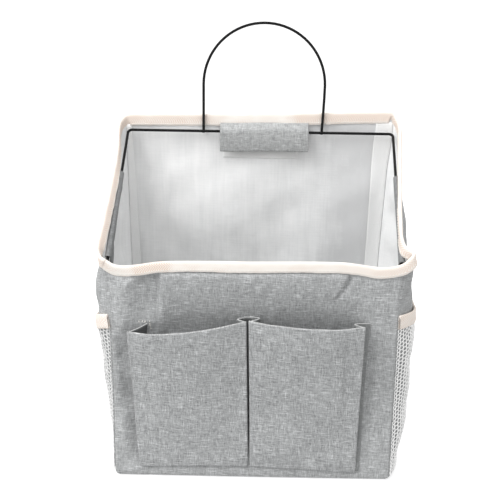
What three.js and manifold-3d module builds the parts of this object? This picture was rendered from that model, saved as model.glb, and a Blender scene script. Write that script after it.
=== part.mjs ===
// Hanging storage organizer: a sewn, coated-linen bag held open by a black wire frame.
// Millimetres, +Z up, +Y towards the wall side, -Y the front with the two gusseted pockets.
// The origin is the centre of the flat bottom.
//
// Construction: five fabric walls sewn at four upright seams and round the bottom, a cream
// tape bound over the whole mouth, a welded wire ring that lies in the mouth, sloping down
// from the tall back wall to the low front wall, and a wire arch welded behind the ring's
// back bar to hang the bag by. Four linen flaps fold over the ring and close with
// touch-fastener tape, so the ring can be taken out. Two gusseted pockets stand off the
// front wall, and a net pocket with a bound edge covers the lower part of each side.
import * as THREE from "three";
import { mergeVertices } from "three/addons/utils/BufferGeometryUtils.js";
import Module from "manifold-3d";

const wasm = await Module();
wasm.setup();

// ---------------------------------------------------------------- driving dimensions
const CLOTH = 1.2; // coated linen wall
const GAP = 0.4; // play kept between sewn layers
const FRONT_Y = -65; // outer face of the front wall
const BACK_Y = 65; // outer face of the back wall
const RIM_FRONT = 183.5; // top of the bound edge, front
const RIM_BACK = 284; // top of the bound edge, back
const SEAM_BOTTOM = 112.6; // half width of the bag at its bottom
const SEAM_MIDDLE = 115; // half width at 150 mm
const SEAM_RIM = 121.1; // half width at the mouth
const SIDE_SEAM_Y = 63.4; // side walls run between the front and back walls
const SIDE_BULGE = [
  [0, 112.0],
  [0.12, 114.6],
  [0.25, 118.4],
  [0.38, 122.4],
  [0.5, 125.4],
  [0.62, 127.0],
  [0.75, 125.2],
  [0.85, 121.8],
  [0.9, 120.5],
  [1, 120.5],
]; // middle of a side wall: height share, x
const BINDING = 8.5; // width of the tape seen on each face
const TAPE = 0.8; // thickness of the tape
const WIRE = 1.2; // wire radius
const WIRE_SIDES = 20;
const RING_HALF = 117; // ring centreline, half width
const RING_FRONT = [-60.8, 173.5]; // ring centreline at the front bar: y, z
const RING_BACK = [58.2, 268]; // ring centreline at the back bar: y, z
const RING_CORNER = 3.6; // bend radius of the ring's corners
const ARCH_Y = RING_BACK[0] + 2 * WIRE + 0.3; // legs lie behind the back bar
const ARCH_X = 3.0; // the arch is welded a little right of the middle
const ARCH_LEAN = 1.9; // the right leg leans in by this much down to its foot
const ARCH_RADIUS = 53.2; // centreline radius of the crown
const ARCH_RISE = 94.0; // back bar to crown, centrelines
const ARCH_TAIL = 0.6; // the legs pass the back bar by this much, plus the bar
const FLAP = 0.9; // linen of the flaps
const BACK_FLAP_HALF = 40;
const BACK_FLAP_X = 3.4; // middle of the back flap
const FRONT_FLAP_HALF = 74;
const SIDE_FLAP_FROM = -53; // along Y, where the flap meets the ring's arm
const SIDE_FLAP_TO = 18;
const TAPE_CLOSE = 1.0; // touch-fastener tapes
const NET_TOP = 136;
const NET_BOTTOM = 6;
const NET = 1.0;
const NET_STAND_OFF = 7.5; // how far the net stands off the side wall at its mouth
const NET_BINDING = 11.5;
const POCKET_HINGE = [-66.0, 5.0]; // bottom seam of the front pockets: y, z
const POCKET_TILT = 9.4; // degrees the pocket fronts lean out
const POCKET_LENGTH = 131;
const POCKETS = {
  // x of each pocket front's edges, and of its gussets where they meet the front wall
  left: { from: -96, to: -3.7, wallFrom: -93.4, wallTo: -4.0 },
  right: { from: -1.3, to: 89.4, wallFrom: -1.0, wallTo: 91.2 },
};
const PLEAT = 13.5; // how far a gusset folds into its pocket

// ---------------------------------------------------------------- materials
const mat = (color, roughness, metalness = 0) =>
  new THREE.MeshStandardMaterial({ color, roughness, metalness });
const linen = mat(0xa3a4a4, 0.95);
const cream = mat(0xf3ece2, 0.9);
const black = mat(0x141414, 0.4, 0.3);
const white = mat(0xe6e6e6, 0.85);
const net = mat(0xeeeeee, 0.7);
const fastener = mat(0xdcdcdc, 0.9);

// ---------------------------------------------------------------- helpers
const group = new THREE.Group();
const V = (x, y, z) => new THREE.Vector3(x, y, z);

function add(name, geometry, material) {
  const mesh = new THREE.Mesh(geometry, material);
  mesh.name = name;
  group.add(mesh);
  return mesh;
}

// piecewise linear look-up
function along(table, x) {
  if (x <= table[0][0]) return table[0][1];
  for (let i = 1; i < table.length; i++)
    if (x <= table[i][0]) {
      const [a, fa] = table[i - 1];
      const [b, fb] = table[i];
      return fa + ((fb - fa) * (x - a)) / (b - a);
    }
  return table[table.length - 1][1];
}

// an indexed geometry from points and faces, turned so that its faces point out
function closed(points, faces) {
  let volume = 0;
  for (const [a, b, c] of faces)
    volume += points[a].dot(
      new THREE.Vector3().crossVectors(points[b], points[c]),
    );
  const index = [];
  for (const [a, b, c] of faces)
    volume < 0 ? index.push(a, c, b) : index.push(a, b, c);
  const geometry = new THREE.BufferGeometry();
  geometry.setAttribute(
    "position",
    new THREE.Float32BufferAttribute(
      points.flatMap((p) => [p.x, p.y, p.z]),
      3,
    ),
  );
  geometry.setIndex(index);
  geometry.computeVertexNormals();
  return geometry;
}

// a cloth of thickness t on a grid: at(i, j) is a point of its middle surface, off(i, j) the unit vector across it
function sheet(ni, nj, at, off, t) {
  const points = [];
  const faces = [];
  const id = (side, i, j) => side * ni * nj + i * nj + j;
  for (const side of [0, 1])
    for (let i = 0; i < ni; i++)
      for (let j = 0; j < nj; j++)
        points.push(
          at(i, j)
            .clone()
            .addScaledVector(off(i, j), side ? t / 2 : -t / 2),
        );
  const quad = (a, b, c, d) => faces.push([a, b, c], [a, c, d]);
  for (let i = 0; i < ni - 1; i++)
    for (let j = 0; j < nj - 1; j++) {
      quad(id(1, i, j), id(1, i + 1, j), id(1, i + 1, j + 1), id(1, i, j + 1));
      quad(id(0, i, j), id(0, i, j + 1), id(0, i + 1, j + 1), id(0, i + 1, j));
    }
  for (let i = 0; i < ni - 1; i++) {
    quad(id(0, i, 0), id(0, i + 1, 0), id(1, i + 1, 0), id(1, i, 0));
    quad(
      id(1, i, nj - 1),
      id(1, i + 1, nj - 1),
      id(0, i + 1, nj - 1),
      id(0, i, nj - 1),
    );
  }
  for (let j = 0; j < nj - 1; j++) {
    quad(id(1, 0, j), id(1, 0, j + 1), id(0, 0, j + 1), id(0, 0, j));
    quad(
      id(0, ni - 1, j),
      id(0, ni - 1, j + 1),
      id(1, ni - 1, j + 1),
      id(1, ni - 1, j),
    );
  }
  return closed(points, faces);
}

// a flat outline, given as [a, b] pairs, extruded by depth, and then placed by origin and three axes
function plate(outline, depth, origin, axisA, axisB, axisDepth) {
  const shape = new THREE.Shape(outline.map(([a, b]) => new THREE.Vector2(a, b)));
  const geometry = new THREE.ExtrudeGeometry(shape, {
    depth,
    bevelEnabled: false,
    steps: 1,
  });
  const m = new THREE.Matrix4().makeBasis(axisA, axisB, axisDepth);
  m.setPosition(origin);
  geometry.applyMatrix4(m);
  if (m.determinant() < 0) {
    const p = geometry.getAttribute("position");
    for (let i = 0; i < p.count; i += 3) {
      const keep = [p.getX(i + 1), p.getY(i + 1), p.getZ(i + 1)];
      p.setXYZ(i + 1, p.getX(i + 2), p.getY(i + 2), p.getZ(i + 2));
      p.setXYZ(i + 2, ...keep);
    }
  }
  geometry.deleteAttribute("uv");
  geometry.deleteAttribute("normal");
  const merged = mergeVertices(geometry, 1e-4);
  merged.computeVertexNormals();
  return merged;
}
const X = V(1, 0, 0);
const Y = V(0, 1, 0);
const Z = V(0, 0, 1);

const box = (x0, x1, y0, y1, z0, z1) =>
  plate(
    [
      [x0, y0],
      [x1, y0],
      [x1, y1],
      [x0, y1],
    ],
    z1 - z0,
    V(0, 0, z0),
    X,
    Y,
    Z,
  );

// a bent strip of cloth: centreline is a list of [a, b] pairs, made t thick, and extruded by depth
function strip(centreline, t, depth, origin, axisA, axisB, axisDepth) {
  const left = [];
  const right = [];
  const n = centreline.length;
  for (let i = 0; i < n; i++) {
    const p = new THREE.Vector2(...centreline[i]);
    const before = i
      ? p.clone().sub(new THREE.Vector2(...centreline[i - 1])).normalize()
      : null;
    const after =
      i < n - 1
        ? new THREE.Vector2(...centreline[i + 1]).sub(p).normalize()
        : null;
    const d0 = before || after;
    const d1 = after || before;
    const normal = new THREE.Vector2(-(d0.y + d1.y), d0.x + d1.x).normalize();
    const stretch = 1 / Math.max(0.5, normal.dot(new THREE.Vector2(-d0.y, d0.x)));
    left.push([
      p.x + (normal.x * t * stretch) / 2,
      p.y + (normal.y * t * stretch) / 2,
    ]);
    right.push([
      p.x - (normal.x * t * stretch) / 2,
      p.y - (normal.y * t * stretch) / 2,
    ]);
  }
  return plate(
    [...left, ...right.reverse()],
    depth,
    origin,
    axisA,
    axisB,
    axisDepth,
  );
}

// round wire of radius r swept along points that lie in one plane with this normal
function wire(points, isClosed, planeNormal, r, sides) {
  const n = points.length;
  const verts = [];
  const faces = [];
  for (let i = 0; i < n; i++) {
    const prev = points[isClosed ? (i + n - 1) % n : Math.max(0, i - 1)];
    const next = points[isClosed ? (i + 1) % n : Math.min(n - 1, i + 1)];
    const t0 = points[i].clone().sub(prev);
    const t1 = next.clone().sub(points[i]);
    if (t0.lengthSq() < 1e-12) t0.copy(t1);
    if (t1.lengthSq() < 1e-12) t1.copy(t0);
    t0.normalize();
    t1.normalize();
    const tangent = t0.clone().add(t1).normalize();
    const across = new THREE.Vector3().crossVectors(planeNormal, tangent);
    const miter = 1 / Math.max(0.6, t0.dot(tangent));
    for (let k = 0; k < sides; k++) {
      const a = ((k + 0.5) / sides) * 2 * Math.PI;
      verts.push(
        points[i]
          .clone()
          .addScaledVector(across, r * miter * Math.cos(a))
          .addScaledVector(planeNormal, r * Math.sin(a)),
      );
    }
  }
  const id = (i, k) => (i % n) * sides + (k % sides);
  for (let i = 0; i < (isClosed ? n : n - 1); i++)
    for (let k = 0; k < sides; k++)
      faces.push(
        [id(i, k), id(i + 1, k), id(i + 1, k + 1)],
        [id(i, k), id(i + 1, k + 1), id(i, k + 1)],
      );
  if (!isClosed)
    for (let k = 1; k < sides - 1; k++)
      faces.push(
        [id(0, 0), id(0, k), id(0, k + 1)],
        [(n - 1) * sides, (n - 1) * sides + k + 1, (n - 1) * sides + k],
      );
  return closed(verts, faces);
}

function solid(geometry) {
  const g = geometry.clone();
  g.deleteAttribute("normal");
  if (g.getAttribute("uv")) g.deleteAttribute("uv");
  const merged = mergeVertices(g, 1e-4);
  return new wasm.Manifold(
    new wasm.Mesh({
      numProp: 3,
      vertProperties: new Float32Array(merged.getAttribute("position").array),
      triVerts: new Uint32Array(merged.index.array),
    }),
  );
}
function joined(list) {
  let all = solid(list[0]);
  for (const g of list.slice(1)) all = all.add(solid(g));
  const m = all.getMesh();
  const geometry = new THREE.BufferGeometry();
  const p = [];
  for (let i = 0; i < m.vertProperties.length; i += m.numProp)
    p.push(...m.vertProperties.slice(i, i + 3));
  geometry.setAttribute("position", new THREE.Float32BufferAttribute(p, 3));
  geometry.setIndex([...m.triVerts]);
  geometry.computeVertexNormals();
  return geometry;
}

// ---------------------------------------------------------------- walls
const seamTable = (rim) => [
  [0, SEAM_BOTTOM],
  [150, SEAM_MIDDLE],
  [rim - 10, SEAM_RIM],
  [rim, SEAM_RIM],
];
const FRONT_TOP = RIM_FRONT - TAPE - GAP;
const BACK_TOP = RIM_BACK - TAPE - GAP;
const frontSeam = seamTable(FRONT_TOP);
const backSeam = seamTable(BACK_TOP);

function wall(table, top) {
  const heights = [0, 75, 150, top - 10, top];
  const half = heights.map((z) => [along(table, z), z]);
  return [...half, ...half.map(([x, z]) => [-x, z]).reverse()];
}
add(
  "front_panel",
  plate(wall(frontSeam, FRONT_TOP), CLOTH, V(0, FRONT_Y + CLOTH, 0), X, Z, Y.clone().negate()),
  linen,
);
add(
  "back_panel",
  plate(wall(backSeam, BACK_TOP), CLOTH, V(0, BACK_Y, 0), X, Z, Y.clone().negate()),
  linen,
);
add(
  "bottom_panel",
  box(
    -(SEAM_BOTTOM - CLOTH - GAP - 0.3),
    SEAM_BOTTOM - CLOTH - GAP - 0.3,
    -SIDE_SEAM_Y,
    SIDE_SEAM_Y,
    0,
    CLOTH,
  ),
  linen,
);

// the mouth's top line over the side walls
const rimSlope = (RIM_BACK - RIM_FRONT) / 128.8;
const rimAt = (y) => RIM_FRONT + (y + 64.4) * rimSlope;
const sideTop = (y) => rimAt(y) - 2.6;

// x of the middle of a side wall at depth y and height share s
function sideX(y, s) {
  const t = (y + SIDE_SEAM_Y) / (2 * SIDE_SEAM_Y);
  const edge =
    (1 - t) * along(frontSeam, s * FRONT_TOP) +
    t * along(backSeam, s * BACK_TOP) -
    CLOTH / 2;
  const inner = along(SIDE_BULGE, s);
  const u = Math.min(1, (SIDE_SEAM_Y - Math.abs(y)) / 23.4);
  const w = u * u * (3 - 2 * u);
  return edge * (1 - w) + inner * w;
}
const sideYs = [-63.4, -58, -52, -46, -40, -27, -13, 0, 13, 27, 40, 46, 52, 58, 63.4];
const sideSs = [0, 0.12, 0.25, 0.38, 0.5, 0.62, 0.75, 0.85, 0.9, 0.95, 1];
for (const [name, sign] of [
  ["left_side_panel", -1],
  ["right_side_panel", 1],
])
  add(
    name,
    sheet(
      sideYs.length,
      sideSs.length,
      (i, j) =>
        V(
          sign * sideX(sideYs[i], sideSs[j]),
          sideYs[i],
          sideSs[j] * sideTop(sideYs[i]),
        ),
      () => X,
      CLOTH,
    ),
    linen,
  );

// ---------------------------------------------------------------- bound edge of the mouth
const legDrop = BINDING / Math.cos(Math.atan(rimSlope));
const slopeBand = (y0, y1, low, high) => [
  [y0, rimAt(y0) - low],
  [y1, rimAt(y1) - low],
  [y1, rimAt(y1) - high],
  [y0, rimAt(y0) - high],
];
const OUT = SEAM_RIM + GAP + TAPE; // outer face of the tape at the sides
const INN = SEAM_RIM - CLOTH - GAP - TAPE; // inner face of the tape at the sides
const FO = FRONT_Y - GAP - TAPE;
const FI = FRONT_Y + CLOTH + GAP + TAPE;
const BO = BACK_Y + GAP + TAPE;
const BI = BACK_Y - CLOTH - GAP - TAPE;
const bindingParts = [
  box(-OUT, OUT, FO, FO + TAPE, RIM_FRONT - BINDING, RIM_FRONT),
  box(-OUT, OUT, FO, FI, RIM_FRONT - TAPE, RIM_FRONT),
  box(-(INN + TAPE), INN + TAPE, FI - TAPE, FI, RIM_FRONT - BINDING, RIM_FRONT),
  box(-OUT, OUT, BO - TAPE, BO, RIM_BACK - BINDING, RIM_BACK),
  box(-OUT, OUT, BI, BO, RIM_BACK - TAPE, RIM_BACK),
  box(-(INN + TAPE), INN + TAPE, BI, BI + TAPE, RIM_BACK - BINDING, RIM_BACK),
];
for (const sign of [-1, 1]) {
  const at = (x0, x1, outline) =>
    plate(
      outline,
      x1 - x0,
      V(sign > 0 ? x0 : -x1, 0, 0),
      Y,
      Z,
      X,
    );
  bindingParts.push(
    at(OUT - TAPE, OUT, slopeBand(FO, BO, legDrop, 0)),
    at(INN, OUT, slopeBand(-SIDE_SEAM_Y, SIDE_SEAM_Y, 1.0, 0)),
    at(INN, INN + TAPE, slopeBand(FI - TAPE, BI + TAPE, legDrop, 0)),
  );
}
add("rim_binding", joined(bindingParts), cream);

// ---------------------------------------------------------------- wire ring and arch
const ringDir = V(0, RING_BACK[0] - RING_FRONT[0], RING_BACK[1] - RING_FRONT[1]).normalize();
const ringNormal = V(0, -ringDir.z, ringDir.y); // up, square to the ring
const ringLength = Math.hypot(
  RING_BACK[0] - RING_FRONT[0],
  RING_BACK[1] - RING_FRONT[1],
);
const ringPoint = (x, d) =>
  V(x, RING_FRONT[0], RING_FRONT[1]).addScaledVector(ringDir, d);
const ringPath = [];
for (const [cx, cd, from] of [
  [RING_HALF - RING_CORNER, RING_CORNER, -90],
  [RING_HALF - RING_CORNER, ringLength - RING_CORNER, 0],
  [-RING_HALF + RING_CORNER, ringLength - RING_CORNER, 90],
  [-RING_HALF + RING_CORNER, RING_CORNER, 180],
])
  for (let k = 0; k <= 8; k++) {
    const a = ((from + (90 * k) / 8) * Math.PI) / 180;
    ringPath.push(
      ringPoint(cx + RING_CORNER * Math.cos(a), cd + RING_CORNER * Math.sin(a)),
    );
  }
add("wire_ring", wire(ringPath, true, ringNormal, WIRE, WIRE_SIDES), black);

const archCentre = RING_BACK[1] + ARCH_RISE - ARCH_RADIUS;
const archFoot = RING_BACK[1] - WIRE - ARCH_TAIL;
const archPath = [];
for (let k = 0; k < 4; k++) {
  const up = k / 4;
  archPath.push(
    V(
      ARCH_X + ARCH_RADIUS - ARCH_LEAN * (1 - up) ** 1.4,
      ARCH_Y,
      archFoot + (archCentre - archFoot) * up,
    ),
  );
}
const archSteps = 40;
for (let k = 0; k <= archSteps; k++) {
  const a = (Math.PI * k) / archSteps;
  archPath.push(
    V(
      ARCH_X + ARCH_RADIUS * Math.cos(a),
      ARCH_Y,
      archCentre + ARCH_RADIUS * Math.sin(a),
    ),
  );
}
archPath.push(V(ARCH_X - ARCH_RADIUS, ARCH_Y, archFoot));
add("hanging_arch", wire(archPath, false, Y, WIRE, WIRE_SIDES), black);

// ---------------------------------------------------------------- flaps over the ring, with their fastener tapes
const backFlapLine = [
  [61.6, 274.2],
  [58.6, 272.7],
  [56.6, 270.9],
  [55.9, 268.9],
  [55.9, 266.4],
  [57.6, 263.2],
  [59.9, 259.5],
  [59.9, 249],
];
add(
  "back_flap",
  strip(
    backFlapLine,
    FLAP,
    2 * BACK_FLAP_HALF,
    V(BACK_FLAP_X - BACK_FLAP_HALF, 0, 0),
    Y,
    Z,
    X,
  ),
  linen,
);
add(
  "back_flap_hook_tape",
  box(BACK_FLAP_X - 36, BACK_FLAP_X + 36, 60.75, 60.75 + TAPE_CLOSE, 250.5, 259),
  fastener,
);
add(
  "back_wall_loop_tape",
  box(BACK_FLAP_X - 36, BACK_FLAP_X + 36, 63.4 - TAPE_CLOSE, 63.4, 250, 262),
  fastener,
);

const frontFlapLine = [
  [-61.8, 176.2],
  [-59.9, 176.2],
  [-58.5, 175.0],
  [-58.5, 166.8],
  [-60.2, 162.4],
  [-60.2, 152.5],
];
add(
  "front_flap",
  strip(frontFlapLine, FLAP, 2 * FRONT_FLAP_HALF, V(-FRONT_FLAP_HALF, 0, 0), Y, Z, X),
  linen,
);
add(
  "front_flap_hook_tape",
  box(-68, 68, -61 - TAPE_CLOSE, -61, 153.7, 161.7),
  fastener,
);
add(
  "front_wall_loop_tape",
  box(-68, 68, -63.4, -63.4 + TAPE_CLOSE, 152.5, 163.5),
  fastener,
);

// the side flaps are drawn in the plane square to the ring's arm: x, and height over the arm
const sideFlapLine = [
  [118.1, 2.1],
  [116.0, 2.1],
  [114.9, 1.0],
  [114.9, -7],
  [117.0, -24.5],
];
const lower = new THREE.Vector2(2.1, -17.5).normalize();
const outward = new THREE.Vector2(-lower.y, lower.x);
const tapeOutline = (near, far, from, to) =>
  [
    [near, from],
    [far, from],
    [far, to],
    [near, to],
  ].map(([o, l]) => [
    114.9 + outward.x * o + lower.x * l,
    -7 + outward.y * o + lower.y * l,
  ]);
const flapFrom = (SIDE_FLAP_FROM - RING_FRONT[0]) / ringDir.y;
const flapLength = (SIDE_FLAP_TO - SIDE_FLAP_FROM) / ringDir.y;
for (const [side, sign] of [
  ["left", -1],
  ["right", 1],
]) {
  const at = (inset) =>
    V(0, RING_FRONT[0], RING_FRONT[1]).addScaledVector(ringDir, flapFrom + inset);
  const ax = V(sign, 0, 0);
  add(
    side + "_flap",
    strip(sideFlapLine, FLAP, flapLength, at(0), ax, ringNormal, ringDir),
    linen,
  );
  add(
    side + "_flap_hook_tape",
    plate(tapeOutline(0.8, 1.8, 6, 17), flapLength - 6, at(3), ax, ringNormal, ringDir),
    fastener,
  );
  add(
    side + "_wall_loop_tape",
    plate(tapeOutline(2.2, 3.2, 5, 17.5), flapLength - 6, at(3), ax, ringNormal, ringDir),
    fastener,
  );
}

// ---------------------------------------------------------------- tapes over the inside seams
function seamTape(table, top, y0, y1, sign) {
  const heights = [3.2, 75, 150, top];
  const outer = heights.map((z) => [sign * (along(table, z) - CLOTH - 1.0), z]);
  const inner = heights
    .map((z) => [sign * (along(table, z) - CLOTH - 12.0), z])
    .reverse();
  return plate([...outer, ...inner], y1 - y0, V(0, y1, 0), X, Z, Y.clone().negate());
}
for (const [side, sign] of [
  ["left", -1],
  ["right", 1],
]) {
  add(
    "back_" + side + "_seam_tape",
    seamTape(backSeam, RIM_BACK - BINDING - 5, 62.4, 63.4, sign),
    white,
  );
  add(
    "front_" + side + "_seam_tape",
    seamTape(frontSeam, RIM_FRONT - BINDING - 3, -63.4, -62.4, sign),
    white,
  );
}
{
  const ox = SEAM_BOTTOM - CLOTH - 2.2;
  const oy = 61.8;
  const shape = new THREE.Shape(
    [
      [-ox, -oy],
      [ox, -oy],
      [ox, oy],
      [-ox, oy],
    ].map(([a, b]) => new THREE.Vector2(a, b)),
  );
  shape.holes.push(
    new THREE.Path(
      [
        [-ox + 10, -oy + 10],
        [-ox + 10, oy - 10],
        [ox - 10, oy - 10],
        [ox - 10, -oy + 10],
      ].map(([a, b]) => new THREE.Vector2(a, b)),
    ),
  );
  const g = new THREE.ExtrudeGeometry(shape, {
    depth: 1.0,
    bevelEnabled: false,
    steps: 1,
  });
  g.translate(0, 0, CLOTH + GAP);
  g.deleteAttribute("uv");
  g.deleteAttribute("normal");
  const merged = mergeVertices(g, 1e-4);
  merged.computeVertexNormals();
  add("bottom_seam_tape", merged, white);
}

// ---------------------------------------------------------------- net pockets on the sides
const netYs = [-61, -58, -52, -46, -40, -27, -13, 0, 13, 27, 40, 46, 52, 58, 61];
const netZs = [6, 20, 36, 54, 72, 90, 108, 124, 136];
function netX(y, z) {
  const share = Math.pow((z - NET_BOTTOM) / (NET_TOP - NET_BOTTOM), 0.7);
  const round = Math.pow(Math.max(0, Math.cos(((Math.PI / 2) * y) / 61)), 0.6);
  return (
    sideX(y, z / sideTop(y)) + CLOTH / 2 + GAP + 0.15 + NET / 2 + NET_STAND_OFF * share * round
  );
}
for (const [side, sign] of [
  ["left", -1],
  ["right", 1],
]) {
  add(
    side + "_net_pocket",
    sheet(
      netYs.length,
      netZs.length,
      (i, j) => V(sign * netX(netYs[i], netZs[j]), netYs[i], netZs[j]),
      () => X,
      NET,
    ),
    net,
  );
  // its bound edge: a folded tape over the top of the net
  const ys = netYs.slice(1, -1);
  const low = NET_TOP + TAPE + GAP - NET_BINDING;
  const high = NET_TOP + TAPE + GAP;
  const g = NET / 2 + GAP;
  const section = (y) => [
    [netX(y, low) + g + TAPE, low],
    [netX(y, NET_TOP) + g + TAPE, high],
    [netX(y, NET_TOP) - g - TAPE, high],
    [netX(y, low) - g - TAPE, low],
    [netX(y, low) - g, low],
    [netX(y, NET_TOP) - g, high - TAPE],
    [netX(y, NET_TOP) + g, high - TAPE],
    [netX(y, low) + g, low],
  ];
  const points = [];
  const faces = [];
  ys.forEach((y) =>
    section(y).forEach(([x, z]) => points.push(V(sign * x, y, z))),
  );
  for (let i = 0; i < ys.length - 1; i++)
    for (let k = 0; k < 8; k++) {
      const a = i * 8 + k;
      const b = i * 8 + ((k + 1) % 8);
      faces.push([a, b, b + 8], [a, b + 8, a + 8]);
    }
  const caps = (o, turn) => {
    for (const [a, b, c] of [
      [0, 1, 6],
      [0, 6, 7],
      [1, 2, 5],
      [1, 5, 6],
      [2, 3, 4],
      [2, 4, 5],
    ])
      faces.push(turn ? [o + a, o + b, o + c] : [o + a, o + c, o + b]);
  };
  caps(0, false);
  caps((ys.length - 1) * 8, true);
  add(side + "_net_binding", closed(points, faces), cream);
}

// ---------------------------------------------------------------- front pockets
const tilt = (POCKET_TILT * Math.PI) / 180;
const pocketBack = (z) =>
  POCKET_HINGE[0] + CLOTH / 2 - (z - POCKET_HINGE[1]) * Math.tan(tilt);
for (const [side, pocket] of Object.entries(POCKETS)) {
  const g = new THREE.BoxGeometry(pocket.to - pocket.from, CLOTH, POCKET_LENGTH);
  g.translate(0, 0, POCKET_LENGTH / 2);
  g.deleteAttribute("uv");
  g.deleteAttribute("normal");
  const merged = mergeVertices(g, 1e-4);
  merged.computeVertexNormals();
  const front = add(side + "_pocket_front", merged, linen);
  front.rotation.x = tilt;
  front.position.set((pocket.from + pocket.to) / 2, POCKET_HINGE[0], POCKET_HINGE[1]);

  // a gusset is one strip, folded once into the pocket, from the front wall to the pocket's edge
  const zs = [28, 48, 69, 90, 111, 132.5];
  for (const [which, wallX, edgeX, into] of [
    ["left", pocket.wallFrom, pocket.from + 0.8, 1],
    ["right", pocket.wallTo, pocket.to - 0.8, -1],
  ]) {
    const section = (z) => {
      const y0 = FRONT_Y - GAP - 0.6;
      const y1 = pocketBack(z) + GAP + 0.75;
      const deep = PLEAT * (0.5 + (0.5 * (z - 28)) / 104.5);
      const a = new THREE.Vector2(wallX, y0);
      const b = new THREE.Vector2((wallX + edgeX) / 2 + into * deep, (y0 + y1) / 2);
      const c = new THREE.Vector2(edgeX, y1);
      const half = 0.4;
      const d0 = b.clone().sub(a).normalize();
      const d1 = c.clone().sub(b).normalize();
      const n0 = new THREE.Vector2(-d0.y, d0.x);
      const n1 = new THREE.Vector2(-d1.y, d1.x);
      const nb = n0.clone().add(n1).normalize();
      // the fold is blunt, so that a sharp crease stays short
      const reach = Math.min(half / Math.max(0.2, nb.dot(n0)), 1.2);
      return [
        a.clone().addScaledVector(n0, half),
        b.clone().addScaledVector(nb, reach),
        c.clone().addScaledVector(n1, half),
        c.clone().addScaledVector(n1, -half),
        b.clone().addScaledVector(nb, -reach),
        a.clone().addScaledVector(n0, -half),
      ];
    };
    const points = [];
    const faces = [];
    zs.forEach((z) => section(z).forEach((p) => points.push(V(p.x, p.y, z))));
    for (let i = 0; i < zs.length - 1; i++)
      for (let k = 0; k < 6; k++) {
        const a = i * 6 + k;
        const b = i * 6 + ((k + 1) % 6);
        faces.push([a, b, b + 6], [a, b + 6, a + 6]);
      }
    for (const [a, b, c] of [
      [0, 1, 4],
      [0, 4, 5],
      [1, 2, 3],
      [1, 3, 4],
    ]) {
      const o = (zs.length - 1) * 6;
      faces.push([a, c, b], [o + a, o + b, o + c]);
    }
    add(side + "_pocket_" + which + "_gusset", closed(points, faces), linen);
  }
}

export default group;
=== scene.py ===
import math

import bmesh
import bpy
import numpy as np
from mathutils import Matrix, Vector


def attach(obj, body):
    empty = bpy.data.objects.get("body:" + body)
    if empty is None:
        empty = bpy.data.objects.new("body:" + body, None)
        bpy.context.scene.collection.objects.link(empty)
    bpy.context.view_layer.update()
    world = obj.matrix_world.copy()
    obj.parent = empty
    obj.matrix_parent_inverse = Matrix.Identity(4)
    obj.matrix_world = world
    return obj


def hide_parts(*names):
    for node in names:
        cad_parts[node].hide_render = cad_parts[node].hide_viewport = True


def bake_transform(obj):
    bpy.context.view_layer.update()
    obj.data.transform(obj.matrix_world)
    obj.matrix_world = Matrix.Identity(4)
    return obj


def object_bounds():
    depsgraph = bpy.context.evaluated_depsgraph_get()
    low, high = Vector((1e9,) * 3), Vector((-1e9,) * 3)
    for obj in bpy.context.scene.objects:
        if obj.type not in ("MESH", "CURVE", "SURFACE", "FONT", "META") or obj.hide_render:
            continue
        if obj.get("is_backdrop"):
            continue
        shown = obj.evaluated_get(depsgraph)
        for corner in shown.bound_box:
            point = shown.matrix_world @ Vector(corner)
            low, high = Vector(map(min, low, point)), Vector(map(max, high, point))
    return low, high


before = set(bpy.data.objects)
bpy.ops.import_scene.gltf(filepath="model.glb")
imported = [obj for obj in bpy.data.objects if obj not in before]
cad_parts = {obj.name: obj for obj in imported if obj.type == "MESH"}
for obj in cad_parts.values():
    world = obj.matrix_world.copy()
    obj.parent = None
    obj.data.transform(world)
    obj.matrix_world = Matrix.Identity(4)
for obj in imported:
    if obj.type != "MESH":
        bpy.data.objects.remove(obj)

cad_low, cad_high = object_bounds()
MM = 0.001
TAU = 2 * math.pi


# ------------------------------------------------------------------ numbers
def smooth(a, b, x):
    t = np.clip((np.asarray(x, float) - a) / (b - a), 0, 1)
    return t * t * (3 - 2 * t)


def curve(points, width=0.0):
    """A table of (x, y) as a function, rounded over about this width."""
    xs, ys = np.array(points, float).T
    pad = 4 * width + 1
    grid = np.linspace(xs[0] - pad, xs[-1] + pad, 2400)
    val = np.interp(grid, xs, ys)
    if width:
        step = grid[1] - grid[0]
        n = int(3 * width / step) + 1
        k = np.exp(-0.5 * (np.arange(-n, n + 1) * step / width) ** 2)
        val = np.convolve(np.pad(val, n, mode="edge"), k / k.sum(), "valid")
    return lambda x: np.interp(x, grid, val)


def waves(seed, low, high, amp, n=7, angle=None, spread=math.pi):
    """Soft uneven folds: a sum of sines with wavelengths from low to high mm."""
    rng = np.random.default_rng(seed)
    middle = rng.uniform(0, TAU) if angle is None else angle
    ang = middle + rng.uniform(-spread, spread, n)
    lam = np.exp(rng.uniform(math.log(low), math.log(high), n))
    ph = rng.uniform(0, TAU, n)
    size = amp * math.sqrt(2 / n)

    def f(x, y):
        x, y = np.broadcast_arrays(np.asarray(x, float), np.asarray(y, float))
        out = np.zeros(x.shape)
        for a, l, p in zip(ang, lam, ph):
            out += np.sin(TAU * (x * math.cos(a) + y * math.sin(a)) / l + p)
        return out * size

    return f


def hump(x, middle, half):
    return np.exp(-(((np.asarray(x, float) - middle) / half) ** 2))


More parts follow.
